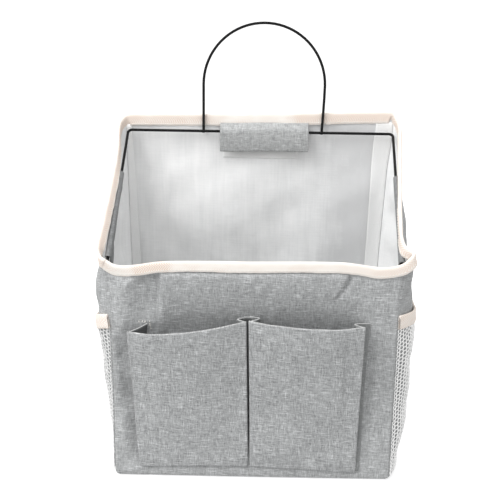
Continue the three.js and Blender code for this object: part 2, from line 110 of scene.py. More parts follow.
def spline(points, step=0.5, closed=False):
    """Centripetal Catmull-Rom through the points, with the index where each point falls."""
    P = np.asarray(points, float)
    n = len(P)
    if not closed:
        P = np.vstack([2 * P[0] - P[1], P, 2 * P[-1] - P[-2]])
    out, starts = [], []
    for i in range(n if closed else n - 1):
        if closed:
            p0, p1, p2, p3 = (P[(i + k) % n] for k in (-1, 0, 1, 2))
        else:
            p0, p1, p2, p3 = P[i : i + 4]
        d = [max(np.linalg.norm(b - a), 1e-6) ** 0.5 for a, b in ((p0, p1), (p1, p2), (p2, p3))]
        t0, t1 = 0.0, d[0]
        t2 = t1 + d[1]
        t3 = t2 + d[2]
        m = max(2, int(round(np.linalg.norm(p2 - p1) / step)))
        t = np.linspace(t1, t2, m, endpoint=False)[:, None]
        a1 = (t1 - t) / (t1 - t0) * p0 + (t - t0) / (t1 - t0) * p1
        a2 = (t2 - t) / (t2 - t1) * p1 + (t - t1) / (t2 - t1) * p2
        a3 = (t3 - t) / (t3 - t2) * p2 + (t - t2) / (t3 - t2) * p3
        b1 = (t2 - t) / (t2 - t0) * a1 + (t - t0) / (t2 - t0) * a2
        b2 = (t3 - t) / (t3 - t1) * a2 + (t - t1) / (t3 - t1) * a3
        starts.append(sum(len(o) for o in out))
        out.append((t2 - t) / (t2 - t1) * b1 + (t - t1) / (t2 - t1) * b2)
    out = np.vstack(out)
    if not closed:
        out = np.vstack([out, P[-2]])
        starts.append(len(out) - 1)
    return out, starts


def lengths(P):
    return np.concatenate([[0], np.cumsum(np.linalg.norm(np.diff(P, axis=0), axis=1))])


def resample(P, n):
    s = lengths(P)
    at = np.linspace(0, s[-1], n)
    return np.stack([np.interp(at, s, P[:, k]) for k in range(P.shape[1])], -1)


# ------------------------------------------------------------------ meshes
def piece(name, verts, faces, mats, body="bag", cloth=None, which=None, replaces=(),
          slot=None, flat=None, blend=None, recalc=True, painted_shade=None):
    """A mesh object from points in millimetres. cloth is the flat place of each point on its cloth, in mm."""
    me = bpy.data.meshes.new(name)
    me.from_pydata((np.asarray(verts, float) * MM).tolist(), [], [list(map(int, f)) for f in faces])
    me.update()
    for m in mats:
        me.materials.append(m)
    if which is not None:
        me.polygons.foreach_set("material_index", np.asarray(which, np.int32))
    if cloth is not None:
        a = me.attributes.new("cloth", "FLOAT_VECTOR", "POINT")
        a.data.foreach_set("vector", np.asarray(cloth, np.float32).ravel())
    # an optional per-point level of painted shade, read by the coating and tape materials
    if painted_shade is not None:
        a = me.attributes.new("painted_shade", "FLOAT", "POINT")
        a.data.foreach_set("value", np.broadcast_to(np.asarray(painted_shade, np.float32), (len(me.vertices),)).copy())
    if recalc:
        bm = bmesh.new()
        bm.from_mesh(me)
        bmesh.ops.recalc_face_normals(bm, faces=bm.faces)
        bm.to_mesh(me)
        bm.free()
    shade = np.ones(len(me.polygons), bool)
    if flat is not None:
        shade[np.asarray(flat, bool)] = False
    me.polygons.foreach_set("use_smooth", shade)
    me.update()
    ob = bpy.data.objects.new(name, me)
    bpy.context.scene.collection.objects.link(ob)
    if blend:
        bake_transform(ob)
    else:
        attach(ob, body)
    if replaces:
        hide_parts(*replaces)
    return ob


def cloth_solid(A, B, seed=0.0, uv=None, roll=0.3, closed=(True, True, True, True)):
    """A cloth from its two faces, A outside and B inside, each rows x columns x 3. roll rounds its edges.
    Returns points, faces, 0 outside / 1 inside / 2 edge, and the cloth's flat coordinates."""
    A, B = np.asarray(A, float), np.asarray(B, float)
    R, C = A.shape[:2]
    if uv is None:
        mid = (A + B) / 2
        du = np.concatenate([np.zeros((R, 1)), np.cumsum(np.linalg.norm(np.diff(mid, axis=1), axis=2), axis=1)], 1)
        dv = np.concatenate([np.zeros((1, C)), np.cumsum(np.linalg.norm(np.diff(mid, axis=0), axis=2), axis=0)], 0)
        uv = np.stack([du, dv], -1)
    UV = np.concatenate([uv, np.full((R, C, 1), seed)], -1)
    idx = np.arange(R * C).reshape(R, C)
    quads = np.stack([idx[:-1, :-1], idx[:-1, 1:], idx[1:, 1:], idx[1:, :-1]], -1).reshape(-1, 4)
    verts = [A.reshape(-1, 3), B.reshape(-1, 3)]
    faces = [quads, quads[:, ::-1] + R * C]
    kinds = [np.zeros(len(quads), int), np.ones(len(quads), int)]
    # the border, anticlockwise: bottom, right, top, left
    i = np.concatenate([np.zeros(C - 1, int), np.arange(R - 1), np.full(C - 1, R - 1), np.arange(R - 1, 0, -1)])
    j = np.concatenate([np.arange(C - 1), np.full(R - 1, C - 1), np.arange(C - 1, 0, -1), np.zeros(R - 1, int)])
    side = np.concatenate([np.full(C - 1, 0), np.full(R - 1, 1), np.full(C - 1, 2), np.full(R - 1, 3)])
    ni = np.clip(i, 1, R - 2)
    nj = np.clip(j, 1, C - 2)
    out = (A[i, j] - A[ni, nj]) + (B[i, j] - B[ni, nj])
    out /= np.maximum(np.linalg.norm(out, axis=1), 1e-9)[:, None]
    thick = np.linalg.norm(A[i, j] - B[i, j], axis=1)[:, None]
    M = (A[i, j] + B[i, j]) / 2 + out * thick * roll
    base = 2 * R * C
    n = len(i)
    k = np.arange(n)
    k2 = (k + 1) % n
    a, a2 = idx[i, j], idx[i[k2], j[k2]]
    b, b2 = a + R * C, a2 + R * C
    m, m2 = base + k, base + k2
    keep = np.array([closed[s] for s in side])
    strip = np.concatenate([np.stack([a, m, m2, a2], -1)[keep], np.stack([m, b, b2, m2], -1)[keep]])
    verts.append(M)
    faces.append(strip)
    kinds.append(np.full(len(strip), 2))
    cl = np.concatenate([UV.reshape(-1, 3), UV.reshape(-1, 3), UV[i, j]])
    verts = np.concatenate(verts)
    faces = np.concatenate(faces)
    kinds = np.concatenate(kinds)
    used = np.zeros(len(verts), bool)
    used[faces.ravel()] = True
    if not used.all():
        new = np.cumsum(used) - 1
        verts, cl, faces = verts[used], cl[used], new[faces]
    return verts, faces, kinds, cl


def cloth_piece(name, A, B, mats, seed=0.0, uv=None, roll=0.3, closed=(True,) * 4, flat_sides=False, edge=None, **kw):
    """mats: [outside, inside] or one for both. edge: the material of its cut or folded edges."""
    v, f, kinds, cl = cloth_solid(A, B, seed, uv, roll, closed)
    which = np.where(kinds == 1, min(1, len(mats) - 1), 0)
    if edge is not None:
        which = np.where(kinds == 2, len(mats), which)
        mats = [*mats, edge]
    return piece(name, v, f, mats, cloth=cl, which=which,
                 flat=(kinds == 2) if flat_sides else None, **kw)


def grid_normals(P):
    du = np.gradient(P, axis=1)
    dv = np.gradient(P, axis=0)
    n = np.cross(du, dv)
    return n / np.maximum(np.linalg.norm(n, axis=2), 1e-12)[..., None]


def offset_cloth(P, thick, flip=False):
    """The two faces of a cloth whose outer face is P. Its normal is columns x rows, so it points to the front for x right, z up."""
    n = grid_normals(P)
    if flip:
        n = -n
    return P, P - n * thick


def sweep(path, N, W, section, closed=True, seed=0.0, puff=None):
    """section: (n, h) points, a closed outline, along N and W at each path point."""
    path, N, W = (np.asarray(x, float) for x in (path, N, W))
    S = np.asarray(section, float)
    n, k = len(path), S.shape[-2]
    if S.ndim == 2:
        S = np.broadcast_to(S, (n, k, 2))
    V = path[:, None] + N[:, None] * S[..., :1] + W[:, None] * S[..., 1:]
    idx = np.arange(n * k).reshape(n, k)
    nxt = np.roll(idx, -1, 0) if closed else idx
    a = idx if closed else idx[:-1]
    b = nxt if closed else idx[1:]
    faces = np.stack([a, b, np.roll(b, -1, 1), np.roll(a, -1, 1)], -1).reshape(-1, 4).tolist()
    if not closed:
        faces.append(idx[0].tolist())
        faces.append(idx[-1][::-1].tolist())
    s = lengths(path)
    per = np.concatenate([[0], np.cumsum(np.linalg.norm(np.diff(S[0], axis=0), axis=1))])
    cl = np.stack([np.broadcast_to(s[:, None], (n, k)), np.broadcast_to(per[None], (n, k)), np.full((n, k), seed)], -1)
    return V.reshape(-1, 3), faces, cl.reshape(-1, 3)


def threads(name, starts, ends, out, mats, radius=0.24, body="bag", lift=0.12, sides=6, blend=None, slot="binding"):
    """Stitches: each a short bent capsule of thread from start to end, standing out a little."""
    starts, ends, out = (np.asarray(x, float) for x in (starts, ends, out))
    along = np.array([0.0, 0.08, 0.3, 0.5, 0.7, 0.92, 1.0])
    rad = np.array([0.35, 0.8, 1.0, 1.05, 1.0, 0.8, 0.35]) * radius
    up = np.array([-0.5, 0.1, 0.8, 1.0, 0.8, 0.1, -0.5]) * lift
    V, F = [], []
    m = len(along)
    ang = np.arange(sides) / sides * TAU
    for k, (a, b, o) in enumerate(zip(starts, ends, out)):
        t = b - a
        side = np.cross(t, o)
        side /= max(np.linalg.norm(side), 1e-9)
        mid = a[None] + t[None] * along[:, None] + o[None] * up[:, None]
        ring = mid[:, None] + rad[:, None, None] * (side * np.cos(ang)[:, None] + o * np.sin(ang)[:, None])[None]
        base = k * m * sides
        V.append(ring.reshape(-1, 3))
        idx = base + np.arange(m * sides).reshape(m, sides)
        q = np.stack([idx[:-1], idx[1:], np.roll(idx[1:], -1, 1), np.roll(idx[:-1], -1, 1)], -1).reshape(-1, 4)
        F.extend(q.tolist())
        F.append(idx[0].tolist())
        F.append(idx[-1][::-1].tolist())
    V = np.concatenate(V)
    cl = np.concatenate([V[:, [0, 2]], np.zeros((len(V), 1))], 1)
    return piece(name, V, F, mats, body=body, cloth=cl, slot=slot, blend=blend)


# ------------------------------------------------------------------ materials
class Graph:
    def __init__(self, name):
        self.m = bpy.data.materials.new(name)
        self.m.use_nodes = True
        self.t = self.m.node_tree
        self.t.nodes.clear()
        out = self.t.nodes.new("ShaderNodeOutputMaterial")
        self.b = self.t.nodes.new("ShaderNodeBsdfPrincipled")
        self.t.links.new(self.b.outputs[0], out.inputs[0])

    def put(self, socket, value):
        if isinstance(value, bpy.types.NodeSocket):
            self.t.links.new(value, socket)
        else:
            socket.default_value = value

    def node(self, kind, props=None, **inputs):
        n = self.t.nodes.new(kind)
        for k, v in (props or {}).items():
            setattr(n, k, v)
        for k, v in inputs.items():
            self.put(n.inputs[int(k[1:])] if k[0] == "_" and k[1:].isdigit() else n.inputs[k.replace("_", " ")], v)
        return n

    def math(self, op, a, b=0.0, c=0.0, clamp=False):
        n = self.t.nodes.new("ShaderNodeMath")
        n.operation = op
        n.use_clamp = clamp
        for s, v in zip(n.inputs, (a, b, c)):
            self.put(s, v)
        return n.outputs[0]

    def add(self, a, b):
        return self.math("ADD", a, b)

    def sub(self, a, b):
        return self.math("SUBTRACT", a, b)

    def mul(self, a, b):
        return self.math("MULTIPLY", a, b)

    def mad(self, a, b, c):
        return self.math("MULTIPLY_ADD", a, b, c)

    def cloth(self):
        a = self.node("ShaderNodeAttribute", {"attribute_name": "cloth", "attribute_type": "GEOMETRY"})
        s = self.node("ShaderNodeSeparateXYZ", _0=a.outputs["Vector"])
        return s.outputs[0], s.outputs[1], s.outputs[2]

    def xyz(self, x, y, z=0.0):
        return self.node("ShaderNodeCombineXYZ", _0=x, _1=y, _2=z).outputs[0]

    def place(self):
        return self.node("ShaderNodeTexCoord").outputs["Object"]

    def noise(self, vec, scale=1.0, detail=2.0, rough=0.5):
        n = self.node("ShaderNodeTexNoise", {"noise_dimensions": "3D"}, Vector=vec, Scale=scale, Detail=detail, Roughness=rough)
        return n.outputs["Fac"] if "Fac" in n.outputs else n.outputs[0]

    def ramp(self, fac, stops):
        n = self.t.nodes.new("ShaderNodeValToRGB")
        e = n.color_ramp.elements
        while len(e) < len(stops):
            e.new(0.5)
        for el, (pos, col) in zip(e, stops):
            el.position = pos
            el.color = (*col, 1) if len(col) == 3 else col
        self.put(n.inputs[0], fac)
        return n.outputs[0]

    def mix(self, fac, a, b, blend="MIX"):
        n = self.t.nodes.new("ShaderNodeMix")
        n.data_type = "RGBA"
        n.blend_type = blend
        self.put(n.inputs[0], fac)
        for s, v in ((n.inputs[6], a), (n.inputs[7], b)):
            self.put(s, (*v, 1) if isinstance(v, tuple) and len(v) == 3 else v)
        return n.outputs[2]

    def bump(self, height, distance, strength=1.0, normal=None):
        n = self.node("ShaderNodeBump", Height=height, Distance=distance, Strength=strength)
        if normal is not None:
            self.put(n.inputs["Normal"], normal)
        return n.outputs[0]

    def finish(self, color=None, rough=None, normal=None, **fixed):
        if color is not None:
            self.put(self.b.inputs["Base Color"], (*color, 1) if isinstance(color, tuple) else color)
        if rough is not None:
            self.put(self.b.inputs["Roughness"], rough)
        if normal is not None:
            self.put(self.b.inputs["Normal"], normal)
        for k, v in fixed.items():
            self.b.inputs[k.replace("_", " ")].default_value = v
        return self.m


def linen(name, base, yarn=0.56, contrast=1.0, slub=1.0, fold=False, weft=1.0, warp=1.0, coarse=1.25, across=1.25, long=0.16):
    """Plain-woven linen of uneven yarns: each yarn has its own tone, with pale slubs lying along it. Painted shade:
    raised yarn crossings are lighter, and with fold set the cloth darkens towards the middle of its width.
    """
    g = Graph(name)
    x, y, z = g.cloth()
    iu = g.math("FLOOR", g.mul(x, 1 / yarn))
    iv = g.math("FLOOR", g.mul(y, 1 / yarn))
    ups = g.noise(g.xyz(g.mad(iu, 3.71, z), g.mul(y, 0.22), 3.3), detail=2.0, rough=0.6)
    acrosses = g.noise(g.xyz(g.mul(x, 0.22), g.mad(iv, 3.71, z), 8.1), detail=2.0, rough=0.6)
    su = g.math("SINE", g.mul(x, math.pi / yarn))
    sv = g.math("SINE", g.mul(y, math.pi / yarn))
    over = g.math("MULTIPLY_ADD", g.mul(su, sv), 2.5, 0.5, clamp=True)
    # thick pale slubs that lie over the plain yarns
    slub_u = g.noise(g.xyz(g.mul(x, across), g.mul(y, long), g.add(z, 2.0)), detail=1.0)
    slub_v = g.noise(g.xyz(g.mul(x, long), g.mul(y, coarse), g.add(z, 11.0)), detail=1.0)
    pale_u = g.math("MULTIPLY_ADD", slub_u, 3.2, -1.92, clamp=True)
    pale_v = g.math("MULTIPLY_ADD", slub_v, 3.2, -1.92, clamp=True)
    yarns = g.add(g.mul(ups, over), g.mul(acrosses, g.sub(1.0, over)))
    tone = g.mad(g.sub(yarns, 0.5), 0.95 * contrast, 0.46)
    tone = g.mad(pale_u, 0.42 * slub * warp, tone)
    tone = g.mad(pale_v, 0.42 * slub * weft, tone)
    tone = g.mad(g.sub(slub_u, 0.5), 0.30 * slub * warp, tone)
    tone = g.mad(g.sub(slub_v, 0.5), 0.30 * slub * weft**1.6, tone)
    cloudy = g.noise(g.xyz(g.mul(x, 0.035), g.mul(y, 0.035), z), detail=3.0)
    tone = g.mad(g.sub(cloudy, 0.5), 0.14, tone)
    # painted shade of the weave: raised yarn crossings are painted lighter and their hollows darker
    lift = g.math("MULTIPLY", g.math("ABSOLUTE", su), g.math("ABSOLUTE", sv))
    tone = g.mad(g.sub(lift, 0.4), 0.12, tone)
    # painted shade: with fold set, the cloth darkens towards the middle of its width, where a gusset's fold lies in
    # shade
    if fold:
        deep = g.math("ABSOLUTE", g.sub(x, 13.0))
        deep = g.math("MULTIPLY_ADD", deep, 0.10, -0.15, clamp=True)
        tone = g.mad(g.sub(deep, 1.0), 0.42, tone)
    dark = tuple(c * 0.40 for c in base)
    pale = tuple(min(1.0, c * 1.70) for c in base)
    col = g.ramp(tone, [(0.0, dark), (0.5, base), (1.0, pale)])
    height = g.add(g.mul(g.math("ABSOLUTE", su), over), g.mul(g.math("ABSOLUTE", sv), g.sub(1.0, over)))
    height = g.mad(yarns, 1.2, height)
    height = g.mad(pale_u, 0.8, height)
    height = g.mad(pale_v, 0.8, height)
    nor = g.bump(height, 0.00010, 0.8)
    rough = g.mad(yarns, 0.14, 0.80)
    return g.finish(col, rough, nor, Specular_IOR_Level=0.22, Sheen_Weight=0.08, Sheen_Roughness=0.5)


def lining(name, glow=0.0):
    """White coating on the same cloth: soft gloss, the weave faintly through it, fine creases; painted shade from a
    per-point attribute, and with glow set a painted glow of its own.
    """
    g = Graph(name)
    x, y, z = g.cloth()
    yarn = 0.60
    su = g.math("ABSOLUTE", g.math("SINE", g.mul(x, math.pi / yarn)))
    sv = g.math("ABSOLUTE", g.math("SINE", g.mul(y, math.pi / yarn)))
    threads_u = g.noise(g.xyz(g.mul(x, 0.62), g.mul(y, 0.03), z), detail=3.0)
    threads_v = g.noise(g.xyz(g.mul(x, 0.06), g.mul(y, 0.9), g.add(z, 5.0)), detail=2.0)
    cloudy = g.noise(g.xyz(g.mul(x, 0.03), g.mul(y, 0.03), g.add(z, 3.0)), detail=4.0, rough=0.6)
    tone = g.mad(g.sub(cloudy, 0.5), 0.7, 0.5)
    broad_u = g.noise(g.xyz(g.mul(x, 0.11), g.mul(y, 0.018), g.add(z, 7.0)), detail=3.0)
    tone = g.mad(g.sub(threads_u, 0.5), 0.42, tone)
    tone = g.mad(g.sub(broad_u, 0.5), 0.8, tone)
    tone = g.mad(g.sub(threads_v, 0.5), 0.35, tone)
    # painted shade: the coating is darkened by a per-point painted-shade attribute, and lightened where that is below
    # zero
    painted_shade = g.node("ShaderNodeAttribute", {"attribute_name": "painted_shade", "attribute_type": "GEOMETRY"}).outputs["Fac"]
    tone = g.sub(tone, painted_shade)
    col = g.ramp(tone, [(0.0, (0.63, 0.634, 0.638)), (0.5, (0.765, 0.77, 0.77)), (1.0, (0.87, 0.87, 0.868))])
    crinkle = g.noise(g.xyz(g.mul(x, 0.12), g.mul(y, 0.05), g.add(z, 9.0)), detail=5.0, rough=0.62)
    height = g.mad(g.mul(su, sv), 0.10, g.mul(threads_u, 0.5))
    height = g.mad(threads_v, 0.5, height)
    height = g.mad(crinkle, 3.0, height)
    nor = g.bump(height, 0.00025, 0.55)
    rough = g.mad(cloudy, 0.25, 0.34)
    # glow: painted light, the coating gives off light of its own
    return g.finish(col, rough, nor, Specular_IOR_Level=0.4, Emission_Color=(1, 1, 1, 1), Emission_Strength=glow)


def binding_cloth(name, base=(0.925, 0.88, 0.825), tan=(0.74, 0.575, 0.475)):
    """Cotton herringbone tape: fine zigzag ribs, tan in random patches and as painted tan shade, set per point by an
    attribute, lying mostly in the grooves between the ribs.
    """
    g = Graph(name)
    x, y, z = g.cloth()
    # painted shade: a per-point attribute adds tan shade, mostly in the grooves between the ribs
    painted_shade = g.node("ShaderNodeAttribute", {"attribute_name": "painted_shade", "attribute_type": "GEOMETRY"}).outputs["Fac"]
    wob = g.noise(g.xyz(g.mul(x, 0.4), g.mul(y, 0.4), z), detail=1.0)
    diag = g.add(g.mad(wob, 0.5, x), g.mul(g.math("PINGPONG", y, 2.35), 1.15))
    rib = g.math("ABSOLUTE", g.math("SINE", g.mul(diag, math.pi / 2.0)))
    fine = g.noise(g.xyz(g.mul(x, 2.2), g.mul(y, 2.2), z), detail=3.0)
    patch = g.noise(g.xyz(g.mul(x, 0.06), g.mul(y, 0.16), g.add(z, 4.0)), detail=2.0)
    zone = g.math("MULTIPLY_ADD", g.sub(patch, 0.46), 1.3, painted_shade, clamp=True)
    tint = g.mul(zone, g.mad(g.sub(1.0, rib), 1.35, 0.14))
    tint = g.math("MULTIPLY_ADD", g.sub(fine, 0.5), 0.30, tint, clamp=True)
    col = g.mix(tint, base, tan)
    height = g.mad(fine, 0.5, rib)
    nor = g.bump(height, 0.00018, 0.8)
    return g.finish(col, g.mad(fine, 0.1, 0.82), nor, Specular_IOR_Level=0.22, Sheen_Weight=0.12, Sheen_Roughness=0.5)


def knit(name, glow=0.0):
    g = Graph(name)
    x, y, z = g.cloth()
    a = g.math("SINE", g.mul(g.add(x, y), math.pi / 0.28))
    b = g.math("SINE", g.mul(g.sub(x, y), math.pi / 0.28))
    fine = g.noise(g.xyz(g.mul(x, 2.6), g.mul(y, 2.6), z), detail=3.0)
    tone = g.mad(g.mul(a, b), 0.06, fine)
    col = g.ramp(tone, [(0.2, (0.90, 0.90, 0.895)), (0.8, (0.98, 0.98, 0.975))])
    nor = g.bump(g.add(g.mul(a, b), fine), 0.00008, 0.8)
    # glow: painted light, the net gives off light of its own
    return g.finish(col, g.mad(fine, 0.15, 0.55), nor, Specular_IOR_Level=0.35, Sheen_Weight=0.2, Sheen_Roughness=0.4, Emission_Color=(1, 1, 1, 1), Emission_Strength=glow)


def black_wire(name):
    g = Graph(name)
    p = g.place()
    fine = g.noise(p, scale=900.0, detail=3.0)
    broad = g.noise(p, scale=60.0, detail=2.0)
    col = g.ramp(fine, [(0.3, (0.004, 0.004, 0.0043)), (0.75, (0.013, 0.013, 0.0135))])
    nor = g.bump(g.mad(broad, 0.6, fine), 0.00005, 0.6)
    return g.finish(col, g.mad(broad, 0.2, 0.26), nor, Specular_IOR_Level=0.10)


def nonwoven(name):
    """Heat-bonded tape, embossed with rows of small points."""
    g = Graph(name)
    x, y, z = g.cloth()
    a = g.math("SINE", g.mul(g.add(x, y), math.pi / 0.75))
    b = g.math("SINE", g.mul(g.sub(x, y), math.pi / 0.75))
    dots = g.math("MULTIPLY", a, b)
    dots = g.math("MULTIPLY_ADD", dots, 2.2, -0.6, clamp=True)
    fine = g.noise(g.xyz(g.mul(x, 1.6), g.mul(y, 1.6), z), detail=4.0, rough=0.7)
    tone = g.mad(dots, -0.35, fine)
    col = g.ramp(tone, [(0.1, (0.80, 0.805, 0.80)), (0.7, (0.97, 0.97, 0.965))])
    nor = g.bump(g.mad(dots, -1.2, fine), 0.00012, 0.8)
    return g.finish(col, 0.7, nor, Specular_IOR_Level=0.3)


def fastener(name, hooks, base):
    g = Graph(name)
    x, y, z = g.cloth()
    if hooks:
        a = g.math("SINE", g.mul(x, math.pi / 0.45))
        b = g.math("SINE", g.mul(y, math.pi / 0.6))
        rows = g.math("ABSOLUTE", g.mul(a, b))
        fine = g.noise(g.xyz(g.mul(x, 3.0), g.mul(y, 3.0), z), detail=2.0)
        height = g.mad(fine, 0.5, rows)
    else:
        fine = g.noise(g.xyz(g.mul(x, 2.4), g.mul(y, 2.4), z), detail=5.0, rough=0.75)
        height = fine
    # painted shade: darker where the hooks or the pile are low, in their hollows
    col = g.ramp(height, [(0.2, tuple(c * 0.72 for c in base)), (0.9, base)])
    nor = g.bump(height, 0.0003, 0.9)
    return g.finish(col, 0.85, nor, Specular_IOR_Level=0.2, Sheen_Weight=0.2, Sheen_Roughness=0.5)


def thread(name, col):
    g = Graph(name)
    x, y, z = g.cloth()
    twist = g.math("SINE", g.mul(g.add(x, g.mul(y, 1.3)), math.pi / 0.35))
    fine = g.noise(g.xyz(g.mul(x, 4.0), g.mul(y, 4.0), z), detail=2.0)
    tone = g.mad(twist, 0.2, fine)
    c = g.ramp(tone, [(0.2, tuple(k * 0.8 for k in col)), (0.8, col)])
    nor = g.bump(tone, 0.00004, 0.8)
    return g.finish(c, 0.6, nor, Specular_IOR_Level=0.35)


LINEN = linen("linen", (0.417, 0.425, 0.428), contrast=1.6, slub=1.15, weft=1.25, warp=0.75, coarse=1.35, across=1.6, long=0.105)
# painted shade: a darker copy of the linen for the right wall's outside, which is turned from the key light
LINEN_SIDE_PAINTED_SHADE = linen("linen_side_painted_shade", (0.378, 0.385, 0.387), contrast=1.5, slub=1.0, weft=1.2, warp=0.75, coarse=1.35, across=1.6, long=0.105)
LINEN_POCKET = linen("linen_pocket", (0.402, 0.410, 0.413), contrast=1.9, slub=1.5, weft=1.15, warp=0.85, coarse=1.75, across=1.7, long=0.095)
LINEN_TAB = linen("linen_tab", (0.402, 0.409, 0.409), contrast=1.5, slub=0.85, weft=1.25, warp=0.8, coarse=1.6, across=1.6, long=0.11)
# painted highlight: a slightly lighter, plainer linen for cut and folded edges, where light catches the hems
EDGE_PAINTED_HIGHLIGHT = linen("linen_edge_painted_highlight", (0.43, 0.435, 0.432), contrast=0.8)
# painted shade: a near-black linen for the left pocket's left gusset, whose inside lies in deep shade
GUSSET_PAINTED_DEEP_SHADE = linen("linen_gusset_painted_deep_shade", (0.115, 0.118, 0.120), contrast=0.8, slub=0.6)
# painted shade: a dark copy of the linen for the flaps inside the bag, which hang in shade
LINEN_PAINTED_SHADE = linen("linen_flap_painted_shade", (0.215, 0.220, 0.223), contrast=0.9)
# painted shade: a dark copy of the linen for the gussets, darkest along their folds, where they lie in the pockets'
# shade
GUSSET_PAINTED_SHADE = linen("linen_gusset_painted_shade", (0.27, 0.277, 0.277), contrast=0.9, slub=0.7, fold=True)
LINING = lining("white_coating")
# painted light: the side walls' inner coating glows a little, lifting their shaded insides
LINING_SIDE_PAINTED_GLOW = lining("white_coating_side_painted_glow", 0.07)
BIND = binding_cloth("binding_twill")
NET = knit("knitted_net")
# painted light: a glowing copy of the net for the right side, which is turned from the key light
NET_PAINTED_GLOW = knit("knitted_net_painted_glow", 0.13)
WIRE = black_wire("black_wire_coat")
BONDED = nonwoven("bonded_seam_tape")
HOOK = fastener("hook_tape", True, (0.78, 0.78, 0.77))
LOOP = fastener("loop_tape", False, (0.96, 0.96, 0.955))
THREAD = thread("cream_thread", (0.88, 0.86, 0.81))
THREAD_GREY = thread("grey_thread", (0.42, 0.425, 0.42))

# ------------------------------------------------------------------ the mouth's line
TH = 1.1  # coated linen
FRONT_Y, BACK_Y = -65.0, 65.0
RIM_POINTS = [
    ("FL", -116.5, -64.2, 180.4),
    ("", -110.9, -64.5, 177.3),
    ("", -103.7, -64.6, 176.3),
    ("", -92.6, -64.6, 177.4),
    ("", -74.3, -64.8, 180.3),
    ("", -38.0, -65.0, 181.7),
    ("", -2.7, -65.0, 181.9),
    ("", 25.0, -65.0, 182.5),
    ("", 51.0, -65.0, 183.0),
    ("", 72.0, -64.9, 182.8),
    ("", 87.0, -64.6, 181.0),
    ("", 98.6, -64.5, 179.5),
    ("", 109.3, -64.4, 180.3),
    ("FR", 116.8, -63.9, 182.6),
    ("", 121.6, -63.0, 186.4),
    ("", 124.8, -61.0, 189.2),
    ("", 125.8, -57.9, 190.8),
    ("", 123.2, -54.2, 192.0),
    ("", 119.4, -50.0, 194.6),
    ("", 117.4, -43.0, 200.2),
    ("", 117.3, -35.0, 206.4),
    ("", 117.9, -15.0, 222.0),
    ("", 118.8, -3.0, 231.4),
    ("", 119.5, 8.0, 240.0),
    ("", 120.3, 20.0, 249.4),
    ("", 121.2, 33.0, 259.6),
    ("", 122.0, 45.0, 269.2),
    ("", 122.3, 53.0, 275.6),
    ("", 120.9, 59.5, 281.2),
    ("BR", 117.4, 63.2, 286.1),
    ("", 112.5, 64.3, 287.1),
    ("", 95.0, 64.5, 286.7),
    ("", 50.0, 64.5, 285.3),
    ("", 0.0, 64.5, 283.9),
    ("", -50.0, 64.5, 282.7),
    ("", -95.0, 64.5, 281.9),
    ("", -112.8, 64.3, 281.5),
    ("BL", -119.8, 62.8, 280.4),
    ("", -123.5, 58.6, 277.0),
    ("", -124.4, 52.0, 272.9),
    ("", -123.7, 44.0, 267.4),
    ("", -122.6, 34.0, 260.6),
    ("", -122.1, 22.0, 251.2),
    ("", -122.3, 8.0, 240.2),
    ("", -123.0, -6.0, 229.2),
    ("", -123.6, -20.0, 218.1),
    ("", -124.2, -34.0, 207.2),
    ("", -125.0, -46.0, 197.9),
    ("", -125.4, -54.0, 191.4),
    ("", -124.9, -58.5, 187.2),
    ("", -123.0, -61.8, 184.2),
    ("", -120.6, -63.6, 182.3),
]
RIM, RIM_AT = spline([p[1:] for p in RIM_POINTS], 0.4, closed=True)
RIM_S = lengths(np.vstack([RIM, RIM[:1]]))
RIM_LEN = RIM_S[-1]
SEAM_S = {p[0]: RIM_S[RIM_AT[k]] for k, p in enumerate(RIM_POINTS) if p[0]}


def rim(s):
    """Top of the cloth edge at arc s: point, outward horizontal normal, and down along the wall."""
    s = np.mod(np.asarray(s, float), RIM_LEN)
    P = np.vstack([RIM, RIM[:1]])
    at = lambda q: np.stack([np.interp(np.mod(q, RIM_LEN), RIM_S, P[:, k]) for k in range(3)], -1)
    T = at(s + 1.2) - at(s - 1.2)
    T /= np.linalg.norm(T, axis=-1)[..., None]
    N = np.stack([T[..., 1], -T[..., 0], np.zeros(T.shape[:-1])], -1)
    N /= np.linalg.norm(N, axis=-1)[..., None]
    Z = np.array([0, 0, 1.0])
    W = -(Z - T * T[..., 2:3])
    W /= np.linalg.norm(W, axis=-1)[..., None]
    return at(s), N, W


def tape_frame(s):
    """The same, turned by the tape's own lean."""
    P, N, W = rim(s)
    t = np.radians(tape_tilt(np.mod(s, RIM_LEN)))[..., None]
    return P, N * np.cos(t) + W * np.sin(t), W * np.cos(t) - N * np.sin(t)


def side_arc(side, share):
    """Arc of a share from the front seam to the back seam."""
    share = np.asarray(share, float)
    if side > 0:
        return SEAM_S["FR"] + share * (SEAM_S["BR"] - SEAM_S["FR"])
    return RIM_LEN - share * (RIM_LEN - SEAM_S["BL"])


